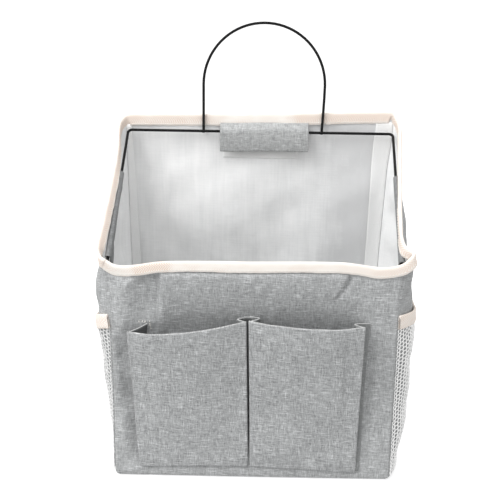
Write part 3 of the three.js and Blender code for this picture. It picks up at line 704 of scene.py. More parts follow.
# ------------------------------------------------------------------ the walls
ROUND = 4.2  # the bottom's edge
PHI = np.linspace(0, math.pi / 2, 7)
SEAM = {
    "FL": curve([(0, -110.9), (30, -112.0), (62, -113.0), (120, -114.0), (156, -114.8), (175, -116.2), (300, -117)], 6),
    "FR": curve([(0, 113.4), (30, 114.0), (69, 114.6), (120, 115.2), (161, 115.8), (175, 116.4), (300, 117)], 6),
    "BL": curve([(0, -114), (144, -118), (240, -120.4), (275, -119.5), (300, -118.8)], 8),
    "BR": curve([(0, 108.5), (146, 110.4), (240, 115.2), (275, 117.6), (300, 118.3)], 8),
}
TOP_GAP = 3.0  # the cloth ends inside the tape
TAPE_H = 8.6  # the bound tape's height on each side of the front
tape_h = curve([(0, 8.3), (14, 8.6), (SEAM_S["FR"], 8.6), (SEAM_S["FR"] + 20, 8.8), (SEAM_S["BR"] - 12, 9.0), (SEAM_S["BR"] + 6, 10.4), (SEAM_S["BL"] - 6, 10.4), (SEAM_S["BL"] + 14, 9.6),
                (SEAM_S["BL"] + 50, 8.5), (SEAM_S["BL"] + 75, 8.1), (RIM_LEN - 10, 8.0), (RIM_LEN, 8.3)], 4)
# the left arm of the tape leans out: its top stands further out than its foot
tape_tilt = curve([(0, 24), (8, 14), (20, 3), (30, 0), (SEAM_S["BL"] + 14, 0), (SEAM_S["BL"] + 32, 5), (SEAM_S["BL"] + 52, 12), (SEAM_S["BL"] + 76, 29), (RIM_LEN - 10, 30), (RIM_LEN, 24)], 4)


def tape_shift(s, fall):
    """How far the wall stands inside the mouth's line, at a height below it, where the tape leans out."""
    t = np.sin(np.radians(tape_tilt(np.mod(s, RIM_LEN))))
    h = tape_h(np.mod(s, RIM_LEN)) * 0.87
    full = np.minimum(np.maximum(fall, 0.0), h)
    return t * (full - 0.22 * h * smooth(h, h + 2.4, fall)) * (1 - smooth(h + 5.0, h + 24, fall))


def finely(total, near, step, fine=(0, 0.3, 0.65, 1.05, 1.6, 2.4, 3.5, 5.0, 7.0)):
    """Distances across a panel, close together at its two seams."""
    f = np.array(fine)
    a = np.arange(near, total - near + 1e-6, (total - 2 * near) / max(1, round((total - 2 * near) / step)))
    f = f[f < near - 0.4 * step]
    return np.unique(np.concatenate([f, a, total - f]).round(4))


def rows(d, top, F):
    """Heights and insets of a wall's rows, for its face at depth d behind the outer one."""
    top = np.asarray(top, float)
    zb = (ROUND - (ROUND - d) * np.cos(PHI))[:, None] + 0 * top
    ib = (ROUND - (ROUND - d) * np.sin(PHI))[:, None] + 0 * top
    zw = ROUND + (top[None] - ROUND) * F[1:, None]
    return np.vstack([zb, zw]), np.vstack([ib, np.full(zw.shape, d)])


F_FRONT = np.linspace(0, 1, 86)
F_SIDE = np.linspace(0, 1, 92)
F_BACK = np.linspace(0, 1, 92)

stand_z = curve([(60, 0), (149, 0), (155, 0.5), (160, 1.1), (165, 1.7), (172, 2.4), (200, 2.6)], 1.2)
band_right = curve([(100, 50), (146, 58), (151, 62.5), (156, 66.5), (161, 70), (166, 73), (171, 74.6), (200, 75)], 1.2)
hollow_z = curve([(0, 0), (84, 0), (94, -1.0), (104, -3.2), (113, -4.8), (119, -5.0), (125, -4.0), (130, -2.7), (135, -1.55), (140, -0.55), (145, 0.25), (150, 0.85), (155, 1.1), (160, 1.0), (165, 0.6), (171, 0.1), (176, 0), (200, 0)], 2.0)
low_folds = waves(11, 26, 60, 0.55)
fine_folds = waves(12, 9, 18, 0.10)
seam_pucker = waves(13, 6.5, 14, 0.16, angle=math.pi / 2, spread=0.35)


def front_relief(x, z):
    """How far the front wall stands out."""
    ends = smooth(-77.0, -71.5, x) * (1 - smooth(-1.2, 1.4, x - band_right(z)))
    stand = stand_z(z) * ends
    past = x - band_right(z)
    fold = (-1.5 * hump(past, 1.4, 1.5) + 0.5 * hump(past, -1.6, 2.2)) * smooth(148, 157, z)
    wide = smooth(-92, -64, x) * (1 - smooth(66, 104, x))
    hollow = hollow_z(z) * wide
    ridge = 3.4 * hump(x, -104, 10) * smooth(112, 134, z)
    dip = -3.9 * smooth(-101, -81, x) * (1 - smooth(-77.0, -71.5, x)) * smooth(128, 150, z)
    shelf = -0.5 * hump(z, 158, 4) * smooth(84, 94, x) + 0.9 * hump(x, 97, 8) * smooth(100, 130, z)
    rest = (1 - smooth(100, 128, z)) * smooth(2, 12, z)
    margin = np.maximum(smooth(-84, -100, x), smooth(84, 96, x))
    low = low_folds(x, z) * (0.35 + 0.9 * margin) * smooth(4, 20, z)
    left_dent = -1.8 * hump(x, -103, 6.5) * hump(z, 78, 28) + 1.2 * hump(x, -104.5, 6) * hump(z, 34, 20)
    right_ridge = 1.4 * hump(x, 99.5, 5) * hump(z, 84, 46) - 0.9 * hump(x, 106, 4) * hump(z, 80, 40)
    brink = -89.4 - 0.073 * z
    beside = -2.9 * smooth(brink - 14, brink - 1, x) * (1 - smooth(brink + 3, brink + 16, x)) * smooth(6, 22, z) * (1 - smooth(60, 96, z))
    total = beside + stand + fold + hollow + ridge + dip + shelf + low * np.maximum(rest, 0.3) + (left_dent + right_ridge) * rest
    return total + fine_folds(x, z) * 0.7


def seam_groove(q):
    return 0.8 * (1 - smooth(0, 1.7, q))


def lean(x, z):
    """How far the foot of the front stands forward of the plane of the front."""
    return curve([(-125, 11.0), (-60, 9.8), (0, 8.7), (60, 7.2), (125, 5.2)], 20)(x) * (1 - smooth(2, 84, z)) ** 1.3


def front_wall(q, d, F=F_FRONT, groove=True):
    """q: distances from the left seam, of FRONT_W in all. d: depth behind the outer face."""
    a = q / FRONT_W
    T, N, _ = rim(a * SEAM_S["FR"])
    top = T[:, 2] - TOP_GAP
    z, inset = rows(d, top, F)
    xl, xr = SEAM["FL"](z) + inset, SEAM["FR"](z) - inset
    x = xl + (xr - xl) * a[None]
    near = np.minimum(q, FRONT_W - q)[None]
    away = smooth(1.0, 9.0, near)
    below = smooth(TAPE_H - 0.4, TAPE_H + 3.4, T[None, :, 2] - z)
    relief = front_relief(x, z) * away * below + seam_pucker(x, z) * (1 - smooth(0, 9, near)) * smooth(0, 1.5, near)
    y = FRONT_Y + inset - relief * smooth(ROUND * 0.3, ROUND * 2.2, z) - lean(x, z)
    zone = 8 + 24 * (1 - smooth(0, 26, near))
    w = 1 - smooth(2, zone, T[None, :, 2] - z)
    x = x * (1 - w) + (T[:, 0] + N[:, 0] * (0.55 - d))[None] * w
    y = y * (1 - w) + (T[:, 1] + N[:, 1] * (0.55 - d))[None] * w
    shift = tape_shift((a * SEAM_S["FR"])[None], (T[None, :, 2] - z) * 0.98) * (1 - smooth(30, 40, q))[None]
    x, y = x - N[None, :, 0] * shift, y - N[None, :, 1] * shift
    if groove:
        g = seam_groove(near) * (1 - smooth(TH * 0.4, TH, d))
        x = x + 0.7 * g * np.where(a[None] < 0.5, 1, -1)
        y = y + 0.7 * g
    return np.stack([x, y, z], -1)


SPREAD = {
    -1: curve([(0, 0), (0.03, 0.48), (0.06, 0.82), (0.10, 1.02), (0.16, 1.08), (0.3, 1.10), (0.5, 1.12), (0.7, 1.0), (0.86, 0.62), (0.95, 0.25), (1, 0)], 0.012),
    1: curve([(0, 0), (0.035, 0.38), (0.075, 0.68), (0.12, 0.86), (0.2, 1.0), (0.34, 1.10), (0.55, 1.12), (0.72, 0.96), (0.87, 0.56), (0.95, 0.24), (1, 0)], 0.02),
}
BULGE = {
    -1: curve([(0, 0.4), (20, 0.8), (31, 1.4), (50, 2.8), (71, 3.6), (90, 6.0), (107, 8.8), (128, 12.6), (151, 14.6), (175, 13.6), (205, 11.4), (290, 6)], 6),
    1: curve([(0, 6.4), (4, 7.6), (15, 9.8), (27, 11.0), (51, 12.3), (73, 12.9), (104, 14.3), (130, 14.8), (151, 15.2), (168, 14.6), (190, 13.2), (225, 10.6), (290, 6)], 6),
}
side_folds = {-1: waves(21, 30, 80, 0.8), 1: waves(22, 30, 80, 0.8)}
side_small = {-1: waves(23, 9, 20, 0.14), 1: waves(24, 9, 20, 0.14)}
SIDE_W = 130.0


def side_wall(side, q, d, F=F_SIDE, groove=True):
    t = q / SIDE_W
    T, N, _ = rim(side_arc(side, t))
    top = T[:, 2] - TOP_GAP
    z, inset = rows(d, top, F)
    fs, bs = (SEAM["FL"], SEAM["BL"]) if side < 0 else (SEAM["FR"], SEAM["BR"])
    tt = t[None]
    base = (fs(z) * (1 - tt) + bs(z) * tt) * side
    shape = SPREAD[side](tt) - SPREAD[side](0.0) * (1 - tt) - SPREAD[side](1.0) * tt
    near = np.minimum(q, SIDE_W - q)[None]
    soft = smooth(0.5, 14, near)
    folds = (side_folds[side](q[None] + 0 * z, z) + side_small[side](q[None] + 0 * z, z)) * soft
    pucker = seam_pucker(q[None] + 0 * z, z + 40) * (1 - smooth(0, 9, near)) * smooth(0, 1.5, near)
    x = base + BULGE[side](z) * shape + (folds + pucker) * smooth(ROUND * 0.4, ROUND * 2.5, z) - inset
    x = x * side
    y = (FRONT_Y + inset - lean(x, z)) * (1 - tt) + (BACK_Y - inset) * tt
    w = 1 - smooth(2, 55 - 23 * (1 - smooth(0, 14, q))[None], T[None, :, 2] - z)
    x = x * (1 - w) + (T[:, 0] + N[:, 0] * (0.55 - d))[None] * w
    y = y * (1 - w) + (T[:, 1] + N[:, 1] * (0.55 - d))[None] * w
    if side < 0:
        steep = 0.78 + 0.2 * smooth(8, 0, q)[None]
        shift = tape_shift(side_arc(side, t)[None], (T[None, :, 2] - z) * steep)
        x, y = x - N[None, :, 0] * shift, y - N[None, :, 1] * shift
    if groove:
        g = seam_groove(near) * (1 - smooth(TH * 0.4, TH, d))
        x = x - side * 0.7 * g
        y = y + 0.7 * g * np.where(t[None] < 0.5, 1, -1)
    return np.stack([x, y, z], -1)


back_soft = waves(31, 60, 150, 1.25)
back_mid = waves(32, 22, 48, 0.30)
back_fine = waves(33, 8, 18, 0.06)


def back_relief(x, z):
    """How far the back wall stands out behind."""
    creases = 0.42 * hump(x, -17.5, 1.2) + 0.26 * hump(x, 29, 1.2) - 0.2 * hump(x, 26, 2.4) + 0.2 * hump(x, -98, 1.2)
    creases = creases * smooth(30, 60, z) * (1 - smooth(236, 250, z))
    dents = (1.6 * hump(x, -70, 26) * hump(z, 214, 30) - 1.2 * hump(x, -40, 16) * hump(z, 190, 18)
             - 1.0 * hump(x, 62, 22) * hump(z, 200, 26) + 1.2 * hump(x, 74, 20) * hump(z, 244, 16)
             + 0.9 * hump(x, 10, 30) * hump(z, 120, 50))
    belly = -(3.3 + 1.5 * hump(x, -62, 42)) * curve([(60, 0), (110, 0.18), (150, 0.62), (180, 0.95), (196, 1.0), (212, 0.9), (232, 0.45), (250, 0.05), (262, 0)], 6)(z)
    dents = dents * 0.7 + belly
    return (back_soft(x, z) + back_mid(x, z) + dents) * smooth(4, 25, z) * (1 - 0.6 * smooth(240, 270, z)) - creases + back_fine(x, z)


def back_wall(q, d, F=F_BACK, groove=True):
    """q from the left seam."""
    a = q / BACK_W
    T, N, _ = rim(SEAM_S["BL"] - a * (SEAM_S["BL"] - SEAM_S["BR"]))
    top = T[:, 2] - TOP_GAP
    z, inset = rows(d, top, F)
    xl, xr = SEAM["BL"](z) + inset, SEAM["BR"](z) - inset
    x = xl + (xr - xl) * a[None]
    near = np.minimum(q, BACK_W - q)[None]
    away = smooth(1.0, 16.0, near)
    relief = back_relief(x, z) * away + seam_pucker(x, z + 90) * (1 - smooth(0, 9, near)) * smooth(0, 1.5, near)
    y = BACK_Y - inset + np.minimum(relief, 0.9) * smooth(ROUND * 0.3, ROUND * 3, z)
    zone = 14 + 41 * (1 - smooth(0, 26, near))
    w = 1 - smooth(2, zone, T[None, :, 2] - z)
    x = x * (1 - w) + (T[:, 0] + N[:, 0] * (0.55 - d))[None] * w
    y = y * (1 - w) + (T[:, 1] + N[:, 1] * (0.55 - d))[None] * w
    if groove:
        g = seam_groove(near) * (1 - smooth(TH * 0.4, TH, d))
        x = x + 0.7 * g * np.where(a[None] < 0.5, 1, -1)
        y = y - 0.7 * g
    return np.stack([x, y, z], -1)


FRONT_W, BACK_W = 230.0, 234.0
Q_FRONT = np.unique(np.concatenate([finely(FRONT_W, 8.0, 2.0), np.arange(24.5, 48, 1.0), np.arange(176.3, 202, 0.7)]).round(3))
Q_FRONT = Q_FRONT[np.concatenate([[True], np.diff(Q_FRONT) > 0.22])]
Q_BACK = finely(BACK_W, 8.0, 2.4)
Q_SIDE = finely(SIDE_W, 8.0, 2.2)


def flat_uv(P, kind, off=0.0):
    if kind == "x":
        u = P[..., 0]
    else:
        u = np.concatenate([np.zeros((P.shape[0], 1)), np.cumsum(np.linalg.norm(np.diff(P[..., :2], axis=1), axis=2), axis=1)], 1)
    return np.stack([u + off, P[..., 2] + 0.02 * u], -1)


A, B = front_wall(Q_FRONT, 0.0), front_wall(Q_FRONT, TH)
front = cloth_piece("front_wall", A, B, [LINEN, LINING], seed=1.0, uv=flat_uv(A, "x"), roll=0.0,
                    replaces=["front_panel"], slot="linen")
A, B = back_wall(Q_BACK, 0.0), back_wall(Q_BACK, TH)
back = cloth_piece("back_wall", A, B, [LINEN, LINING], seed=17.0, uv=flat_uv(A, "x", 400), roll=0.0,
                   replaces=["back_panel"], slot="linen")
place = np.array([v.co[:] for v in back.data.vertices]) / MM
# painted shade and light on the back wall's coating: darker towards the right, less so low down, and lighter at the
# upper left
back_painted_shade = 0.66 * smooth(28, 92, place[:, 0]) * (1 - 0.45 * smooth(150, 110, place[:, 2])) - 0.34 * hump(place[:, 0], -66, 40) * hump(place[:, 2], 226, 40)
back.data.attributes.new("painted_shade", "FLOAT", "POINT").data.foreach_set("value", back_painted_shade.astype(np.float32))
for side, word, seed in ((-1, "left", 31.0), (1, "right", 47.0)):
    A, B = side_wall(side, Q_SIDE, 0.0), side_wall(side, Q_SIDE, TH)
    # painted shade: the right wall's outside gets a darker linen; painted light: both walls' inner coating glows a
    # little
    cloth_piece(word + "_wall", A, B, [LINEN if side < 0 else LINEN_SIDE_PAINTED_SHADE, LINING_SIDE_PAINTED_GLOW], seed=seed, uv=flat_uv(A, "s", 700 * side), roll=0.0,
                replaces=[word + "_side_panel"], slot="linen")


# ------------------------------------------------------------------ the bottom
def bottom_face(d):
    """A patch between the four walls' lowest rows, face at depth d."""
    f = front_wall(Q_FRONT, d, groove=False)[0]
    b = back_wall(Q_FRONT / FRONT_W * BACK_W, d, groove=False)[0]
    l = side_wall(-1, Q_SIDE, d, groove=False)[0]
    r = side_wall(1, Q_SIDE, d, groove=False)[0]
    u = (Q_FRONT / FRONT_W)[None, :, None]
    v = (Q_SIDE / SIDE_W)[:, None, None]
    P = (1 - v) * f[None] + v * b[None] + (1 - u) * l[:, None] + u * r[:, None]
    P -= (1 - u) * (1 - v) * f[0] + u * (1 - v) * f[-1] + (1 - u) * v * b[0] + u * v * b[-1]
    edge = np.minimum(np.minimum(u, 1 - u) * 230, np.minimum(v, 1 - v) * 130)[..., 0]
    P[..., 2] = d + 0.5 * smooth(4, 40, edge) + 0.25 * waves(41, 25, 60, 0.5)(P[..., 0], P[..., 1]) * smooth(2, 20, edge)
    P[..., 2] = np.maximum(P[..., 2], d)
    return P


A, B = bottom_face(0.0), bottom_face(TH)
cloth_piece("bottom_wall", A, B, [LINEN, LINING], seed=61.0, uv=A[..., :2] + 50, roll=0.0,
            replaces=["bottom_panel"], slot="linen")

# ------------------------------------------------------------------ bound edge of the mouth
puff_a, puff_b = waves(51, 18, 60, 1.0), waves(52, 7, 16, 1.0)
TAPE_S = np.arange(0, RIM_LEN, 1.25)


fr, br, bl = SEAM_S["FR"], SEAM_S["BR"], SEAM_S["BL"]


def tape_section(s):
    """Outline across the tape at arc s: outward, and down from the fold."""
    a, b = puff_a(s, 0), puff_b(s, 3)
    wide = 1.0 + 0.05 * a + 0.03 * b
    lo = tape_h(s) + 0.18 * a + 0.10 * b
    li = tape_h(s) + 0.16 * puff_a(s, 40) + 0.10 * b
    base = [
        (1.50, "o", 0.25), (1.72, "o", -0.35), (1.78, "o", -1.6), (1.80, "f", 5.2), (1.80, "f", 3.6), (1.74, "f", 2.2), (1.52, "f", 1.1),
        (1.06, "f", 0.38), (0.40, "f", 0.04), (-0.40, "f", 0.04), (-1.06, "f", 0.38), (-1.52, "f", 1.1), (-1.74, "f", 2.2), (-1.80, "f", 3.6), (-1.80, "f", 5.2),
        (-1.78, "i", -1.6), (-1.72, "i", -0.35), (-1.50, "i", 0.25), (-1.05, "i", 0.30), (-0.80, "i", -0.1),
        (-0.82, "f", 5.0), (-0.84, "f", 2.4), (-0.4, "f", 1.5), (0.4, "f", 1.5), (0.84, "f", 2.4), (0.82, "f", 5.0), (0.80, "o", -0.1), (1.05, "o", 0.30),
    ]
    out = np.zeros((len(s), len(base), 2))
    for k, (n, kind, h) in enumerate(base):
        out[:, k, 0] = n * wide
        out[:, k, 1] = h if kind == "f" else (lo if kind == "o" else li) + h
    return out


P, N, W = tape_frame(TAPE_S)
V, Fc, cl = sweep(P, N, W, tape_section(TAPE_S), closed=True, seed=2.0)
# painted shade on the rim tape: tan along its length at the corners and dips, and across it most on its upright sides,
# less over the top fold, least at its lower edges
tape_painted_shade = curve([(-20, 0.85), (-3, 0.75), (5, 0.2), (20, 0.12), (25, 1.0), (49, 0.95), (54, 0.14), (120, 0.04), (190, 0.16), (fr - 25, 0.34), (fr, 0.5),
                (fr + 18, 0.66), (fr + 40, 0.45), (br - 40, 0.4), (br - 8, 0.72), (br + 14, 0.75), (br + 84, 0.62), (br + 92, 0.1), (br + 150, 0.06),
                (br + 165, 0.62), (bl - 12, 0.75), (bl + 10, 0.85), (bl + 60, 0.7), (RIM_LEN - 40, 0.75), (RIM_LEN - 20, 0.85), (RIM_LEN - 3, 0.75), (RIM_LEN + 20, 0.12)], 2)
across = np.array([0.1, 0.15, 0.8, 1.0, 1.0, 0.95, 0.65, 0.4, 0.3, 0.3, 0.4, 0.65, 0.95, 1.0, 1.0, 0.8, 0.15, 0.1] + [0.1] * 10)
piece("rim_tape", V, Fc, [BIND], cloth=cl, replaces=["rim_binding"], slot="binding", painted_shade=tape_painted_shade(cl[:, 0]) * 1.15 * np.tile(across, len(TAPE_S)))

st = np.arange(1.0, RIM_LEN - 1.0, 2.9)
for word, sign in (("outer", 1), ("inner", -1)):
    Pa, Na, Wa = tape_frame(st)
    Pb, Nb, Wb = tape_frame(st + 2.05)
    h = (tape_h(st) - 1.55)[:, None]
    threads("rim_stitches_" + word, Pa + Na * sign * 1.78 + Wa * h, Pb + Nb * sign * 1.78 + Wb * h, Na * sign, [THREAD], radius=0.23, lift=0.10)

# ------------------------------------------------------------------ wire
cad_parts["wire_ring"].data.materials.clear()
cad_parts["wire_ring"].data.materials.append(WIRE)
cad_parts["hanging_arch"].data.materials.clear()
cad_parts["hanging_arch"].data.materials.append(WIRE)
RING_F, RING_B = np.array([-60.8, 173.5]), np.array([58.2, 268.0])


def blob(name, centre, radii, mats, seed, body="bag", slot="wire"):
    """A small uneven bead."""
    rng = np.random.default_rng(seed)
    bm = bmesh.new()
    bmesh.ops.create_icosphere(bm, subdivisions=3, radius=1.0)
    ph = rng.uniform(0, TAU, 3)
    V = []
    for v in bm.verts:
        c = np.array(v.co)
        k = 1 + 0.09 * math.sin(3.1 * c[0] + ph[0]) + 0.08 * math.sin(4.3 * c[2] + ph[1]) + 0.05 * math.sin(6.0 * c[1] + ph[2])
        V.append(np.array(centre) + c * k * np.array(radii))
    Fs = [[v.index for v in f.verts] for f in bm.faces]
    bm.free()
    V = np.array(V)
    return piece(name, V, Fs, mats, body=body, cloth=V, slot=slot)


for word, x, seed in (("left", -50.2, 1), ("right", 54.3, 2)):
    blob("weld_" + word, (x, 59.55, 268.0), (1.7, 1.35, 1.15), [WIRE], seed)

# ------------------------------------------------------------------ front pockets
FRONT_T = 1.0
POCKETS = {
    "left": {
        "xl": curve([(5, -89.4), (20, -91.6), (36.5, -93.1), (67.8, -94.8), (100, -96.9), (128.7, -98.8)], 4),
        "xr": curve([(5, -1.9), (70, -3.1), (138, -4.2)], 3),
        "hem": curve([(0, 126.6), (0.187, 126.2), (0.382, 128.1), (0.515, 129.8), (0.787, 134.3), (1, 138.6)], 0.04),
        "out": curve([(0, 15.2), (0.187, 19.6), (0.382, 22.8), (0.515, 23.6), (0.787, 22.0), (1, 18.6)], 0.05),
        "seed": 71,
    },
    "right": {
        "xl": curve([(5, -0.7), (70, -1.6), (138, -2.6)], 3),
        "xr": curve([(5, 85.9), (19, 85.8), (45, 86.3), (73, 87.0), (136, 88.2)], 4),
        "hem": curve([(0, 139.2), (0.182, 136.9), (0.46, 135.0), (0.804, 134.4), (1, 136.1)], 0.04),
        "out": curve([(0, 18.6), (0.182, 21.8), (0.46, 23.6), (0.804, 21.8), (1, 18.2)], 0.05),
        "seed": 83,
    },
}
POCKET_Z = {"left": curve([(0, 9.6), (1, 11.4)]), "right": curve([(0, 11.4), (1, 7.4)])}
WALL_FACE = -66.0


def pocket_front(which, u, v):
    """Outer face of a pocket's front. u across 0..1, v up 0..1, as a grid."""
    p = POCKETS[which]
    u, v = np.asarray(u, float)[None, :], np.asarray(v, float)[:, None]
    hem = p["hem"](u)
    foot = POCKET_Z[which](u)
    z = foot + (hem - foot) * v
    xl, xr = p["xl"](z), p["xr"](z)
    x = xl + (xr - xl) * u
    rise = v + 0.32 * v * (1 - v)
    depth = 0.3 + (p["out"](u) - 0.3) * rise
    width = xr - xl
    dl, dr = u * width, (1 - u) * width
    soft = smooth(0, 10, np.minimum(dl, dr)) * smooth(0, 0.12, v)
    w1 = waves(p["seed"], 38, 90, 0.55)(x, z)
    w2 = waves(p["seed"] + 1, 12, 26, 0.10)(x, z)
    # soft upright creases a finger's width inside the edges
    if which == "left":
        crease = -0.8 * hump(dl, 13, 2.6) * smooth(0.25, 0.6, v) * (1 - smooth(0.86, 1.0, v)) + 0.5 * hump(dl, 8, 3.5) * smooth(0.2, 0.6, v)
    else:
        crease = -0.9 * hump(dr, 12, 2.4) * smooth(0.2, 0.5, v) * (1 - smooth(0.8, 1.0, v)) + 0.9 * hump(dr, 17, 3.4) * smooth(0.3, 0.6, v) * (1 - smooth(0.7, 0.95, v))
    depth = depth + (w1 + w2 + crease) * soft
    # the side edges roll back over the gussets
    e = np.minimum(dl, dr)
    depth = depth - 0.95 * (1 - smooth(0, 0.75, e)) + 0.22 * hump(e, 1.1, 0.8)
    depth = depth + lean(x, z)
    return np.stack([x + 0 * z, WALL_FACE - depth, z + 0 * x], -1)


UP = np.unique(np.concatenate([np.linspace(0, 0.03, 5), np.linspace(0.03, 0.965, 56), np.linspace(0.965, 1, 6)]).round(5))
for which in ("left", "right"):
    q = finely(90.0, 8.0, 1.9) / 90.0
    A = pocket_front(which, q, UP)
    n = grid_normals(A)
    hem_in = 1.0 + 0.75 * smooth(0.915, 0.925, UP)[:, None, None]
    lowest = smooth(-0.01, 0.05, UP)[:, None, None]
    B = A - n * FRONT_T * hem_in * (0.55 + 0.45 * lowest)
    uv = np.stack([A[..., 0], A[..., 2] + 0.05 * A[..., 0]], -1)
    # painted highlight: the pockets' cut and folded edges get the lighter edge linen
    cloth_piece(which + "_pocket", A, B, [LINEN_POCKET], seed=POCKETS[which]["seed"], uv=uv, roll=0.30, edge=EDGE_PAINTED_HIGHLIGHT,
                body=which + "_pocket", replaces=[which + "_pocket_front"], slot="linen")


# ------------------------------------------------------------------ gussets
def rounded(points, turns=3):
    """Cuts the corners of an open polyline."""
    P = np.asarray(points, float)
    for _ in range(turns):
        a, b = P[:-1], P[1:]
        mid = np.stack([a * 0.75 + b * 0.25, a * 0.25 + b * 0.75], 1).reshape(-1, P.shape[1])
        P = np.vstack([P[:1], mid, P[-1:]])
    return P


GUSSETS = {
    ("left", "left"): {"wall": curve([(5, -88.0), (60, -87.2), (128, -84.6)], 4), "top": (126.2, 127.4, 129.0), "deep": curve([(5, 10.5), (60, 8.2), (100, 2.6), (118, -3.0), (128, -6.5)], 6), "sign": 1},
    ("left", "right"): {"wall": curve([(5, -4.6), (138, -3.6)], 4), "top": (138.0, 137.3, 136.2), "deep": curve([(5, 12.6), (60, 12.2), (100, 10.4), (138, 8.4)], 6), "sign": -1},
    ("right", "left"): {"wall": curve([(5, 0.4), (138, -0.2)], 4), "top": (138.6, 138.4, 136.4), "deep": curve([(5, 12.6), (60, 12.2), (100, 10.2), (138, 7.6)], 6), "sign": 1},
    ("right", "right"): {"wall": curve([(5, 85.8), (40, 87.2), (75, 88.4), (110, 89.8), (134, 91.4)], 4), "top": (135.7, 135.4, 133.6), "deep": curve([(5, 12.2), (60, 12.0), (100, 10.6), (134, 9.2)], 6), "sign": -1},
}
BANDS = [0.0, 0.10, 0.21, 0.33, 0.46, 0.60, 0.74, 0.87, 1.0]


def gusset(which, hand, f):
    """Middle surface of a gusset at height shares f: rows up, columns from the front's edge to the wall."""
    g, p = GUSSETS[(which, hand)], POCKETS[which]
    out = []
    for share in f:
        u = 0.0 if hand == "left" else 1.0
        hem, foot = float(p["hem"](u)), float(POCKET_Z[which](u))
        ze, zf, zw = (foot + 1.6 + (t - foot - 1.6) * share for t in g["top"])
        v = (ze - foot) / (hem - foot)
        inward = 1 if hand == "left" else -1
        ex = float((p["xl"] if hand == "left" else p["xr"])(ze)) + 0.75 * inward
        ey = WALL_FACE - (0.3 + (float(p["out"](u)) - 0.3) * (v + 0.32 * v * (1 - v))) + 1.9
        wx = float(g["wall"](zw))
        wy = FRONT_Y - 0.75 - float(lean(wx, zw)) - float(front_relief(np.array(wx), np.array(zw)))
        ey = min(ey - float(lean(ex, ze)), wy - 0.1)
        fx = (max(ex, wx) if inward > 0 else min(ex, wx)) + inward * float(g["deep"](zf))
        fy = (ey + wy) / 2
        tail = 0.5 if (which, hand) == ("left", "left") else 2.2
        pts = rounded([(ex, ey - 0.3, ze), (ex + 0.4 * inward, ey + 0.2, ze), (fx, fy, zf), (wx, wy - 0.15, zw), (wx - tail * inward, wy, zw)], 3)
        out.append(resample(pts, 30))
    return np.array(out)


for (which, hand), g in GUSSETS.items():
    full = np.unique(np.concatenate([np.linspace(0, 1, 61), BANDS]).round(6))
    P = gusset(which, hand, full)
    n = grid_normals(P)
    if hand == "right":
        n = -n
    fat = (0.42 + 0.36 * smooth(0.955, 0.975, full))[:, None, None]
    A, B = P + n * fat, P - n * fat
    uv = np.stack([np.broadcast_to(np.linspace(0, 26, P.shape[1])[None], P.shape[:2]), P[..., 2]], -1)
    names = []
    for k in range(len(BANDS) - 1):
        i0 = int(np.searchsorted(full, BANDS[k] - 1e-6))
        i1 = int(np.searchsorted(full, BANDS[k + 1] - 1e-6)) + 1
        mid = (i0 + i1 - 1) // 2
        y0, y1 = float(P[mid, :, 1].max()) + 0.15, float(P[mid, :, 1].min())
        # painted shade: the gussets get dark linen, the left pocket's left one near-black; their top edges get the
        # lighter edge linen, a painted highlight
        cloth_piece(f"{which}_pocket_{hand}_gusset_{k + 1}", A[i0:i1], B[i0:i1], [GUSSET_PAINTED_DEEP_SHADE if which == hand == "left" else GUSSET_PAINTED_SHADE], seed=90.0 + 7 * len(hand) + k * 0,
                    uv=uv[i0:i1], roll=0.25, flat_sides=True, edge=EDGE_PAINTED_HIGHLIGHT if k == len(BANDS) - 2 else None,
                    closed=(k == 0, True, k == len(BANDS) - 2, True),
                    blend=("bag", which + "_pocket", (0, y0 * MM, 0), (0, y1 * MM, 0)),
                    replaces=[f"{which}_pocket_{hand}_gusset"], slot="linen")


# ------------------------------------------------------------------ flaps and their tapes
def strip_flap(name, line, us, at, thick, mats, body, replaces, slot, seed, wobble=0.25, uvoff=0.0, lining=None):
    """A flap as a cloth: line is its section (a, b), and at(u, a, b) puts it in the bag."""
    dense, _ = spline(line, 0.5)
    dense = resample(dense, max(16, int(lengths(dense)[-1] / 1.1)))
    s = lengths(dense)
    P = np.zeros((len(dense), len(us), 3))
    wav = waves(seed, 24, 60, wobble)
    wav2 = waves(seed + 1, 8, 15, wobble * 0.25)
    for i, (a, b) in enumerate(dense):
        free = smooth(4, 14, s[i])
        off = (wav(us, s[i]) + wav2(us, s[i])) * free
        P[i] = at(us, np.full(len(us), a), np.full(len(us), b), off)
    uv = np.stack([np.broadcast_to(us[None] + uvoff, P.shape[:2]), np.broadcast_to(s[:, None], P.shape[:2])], -1)
    n = grid_normals(P)
    return P, n, uv, s


def back_inner(x, z, d=TH):
    """y of the back wall's inner face near a point."""
    q = np.clip((x - SEAM["BL"](z)) / (SEAM["BR"](z) - SEAM["BL"](z)), 0, 1)
    return BACK_Y - d + np.minimum(back_relief(x, z), 0.9)


# back flap: out of the bound edge, over the ring's back bar and down the back wall
line = [(61.5, 275.4), (60.4, 274.2), (58.4, 272.3), (56.6, 270.6), (55.8, 268.6), (55.5, 266.0), (55.4, 262.5), (55.5, 258.6), (55.7, 254.5), (56.0, 251.2)]
us = finely(77.6, 4.0, 1.8, (0, 0.4, 1.0, 2.0)) - 40 + 5.0


def at_back(u, a, b, off):
    tilt = 0.012 * (u - 3.4)
    return np.stack([u + 0.12 * np.sin(b * 0.5), a - off * 0.8, b + tilt + 0.25 * np.sin(u * 0.11 + 1.0)], -1)


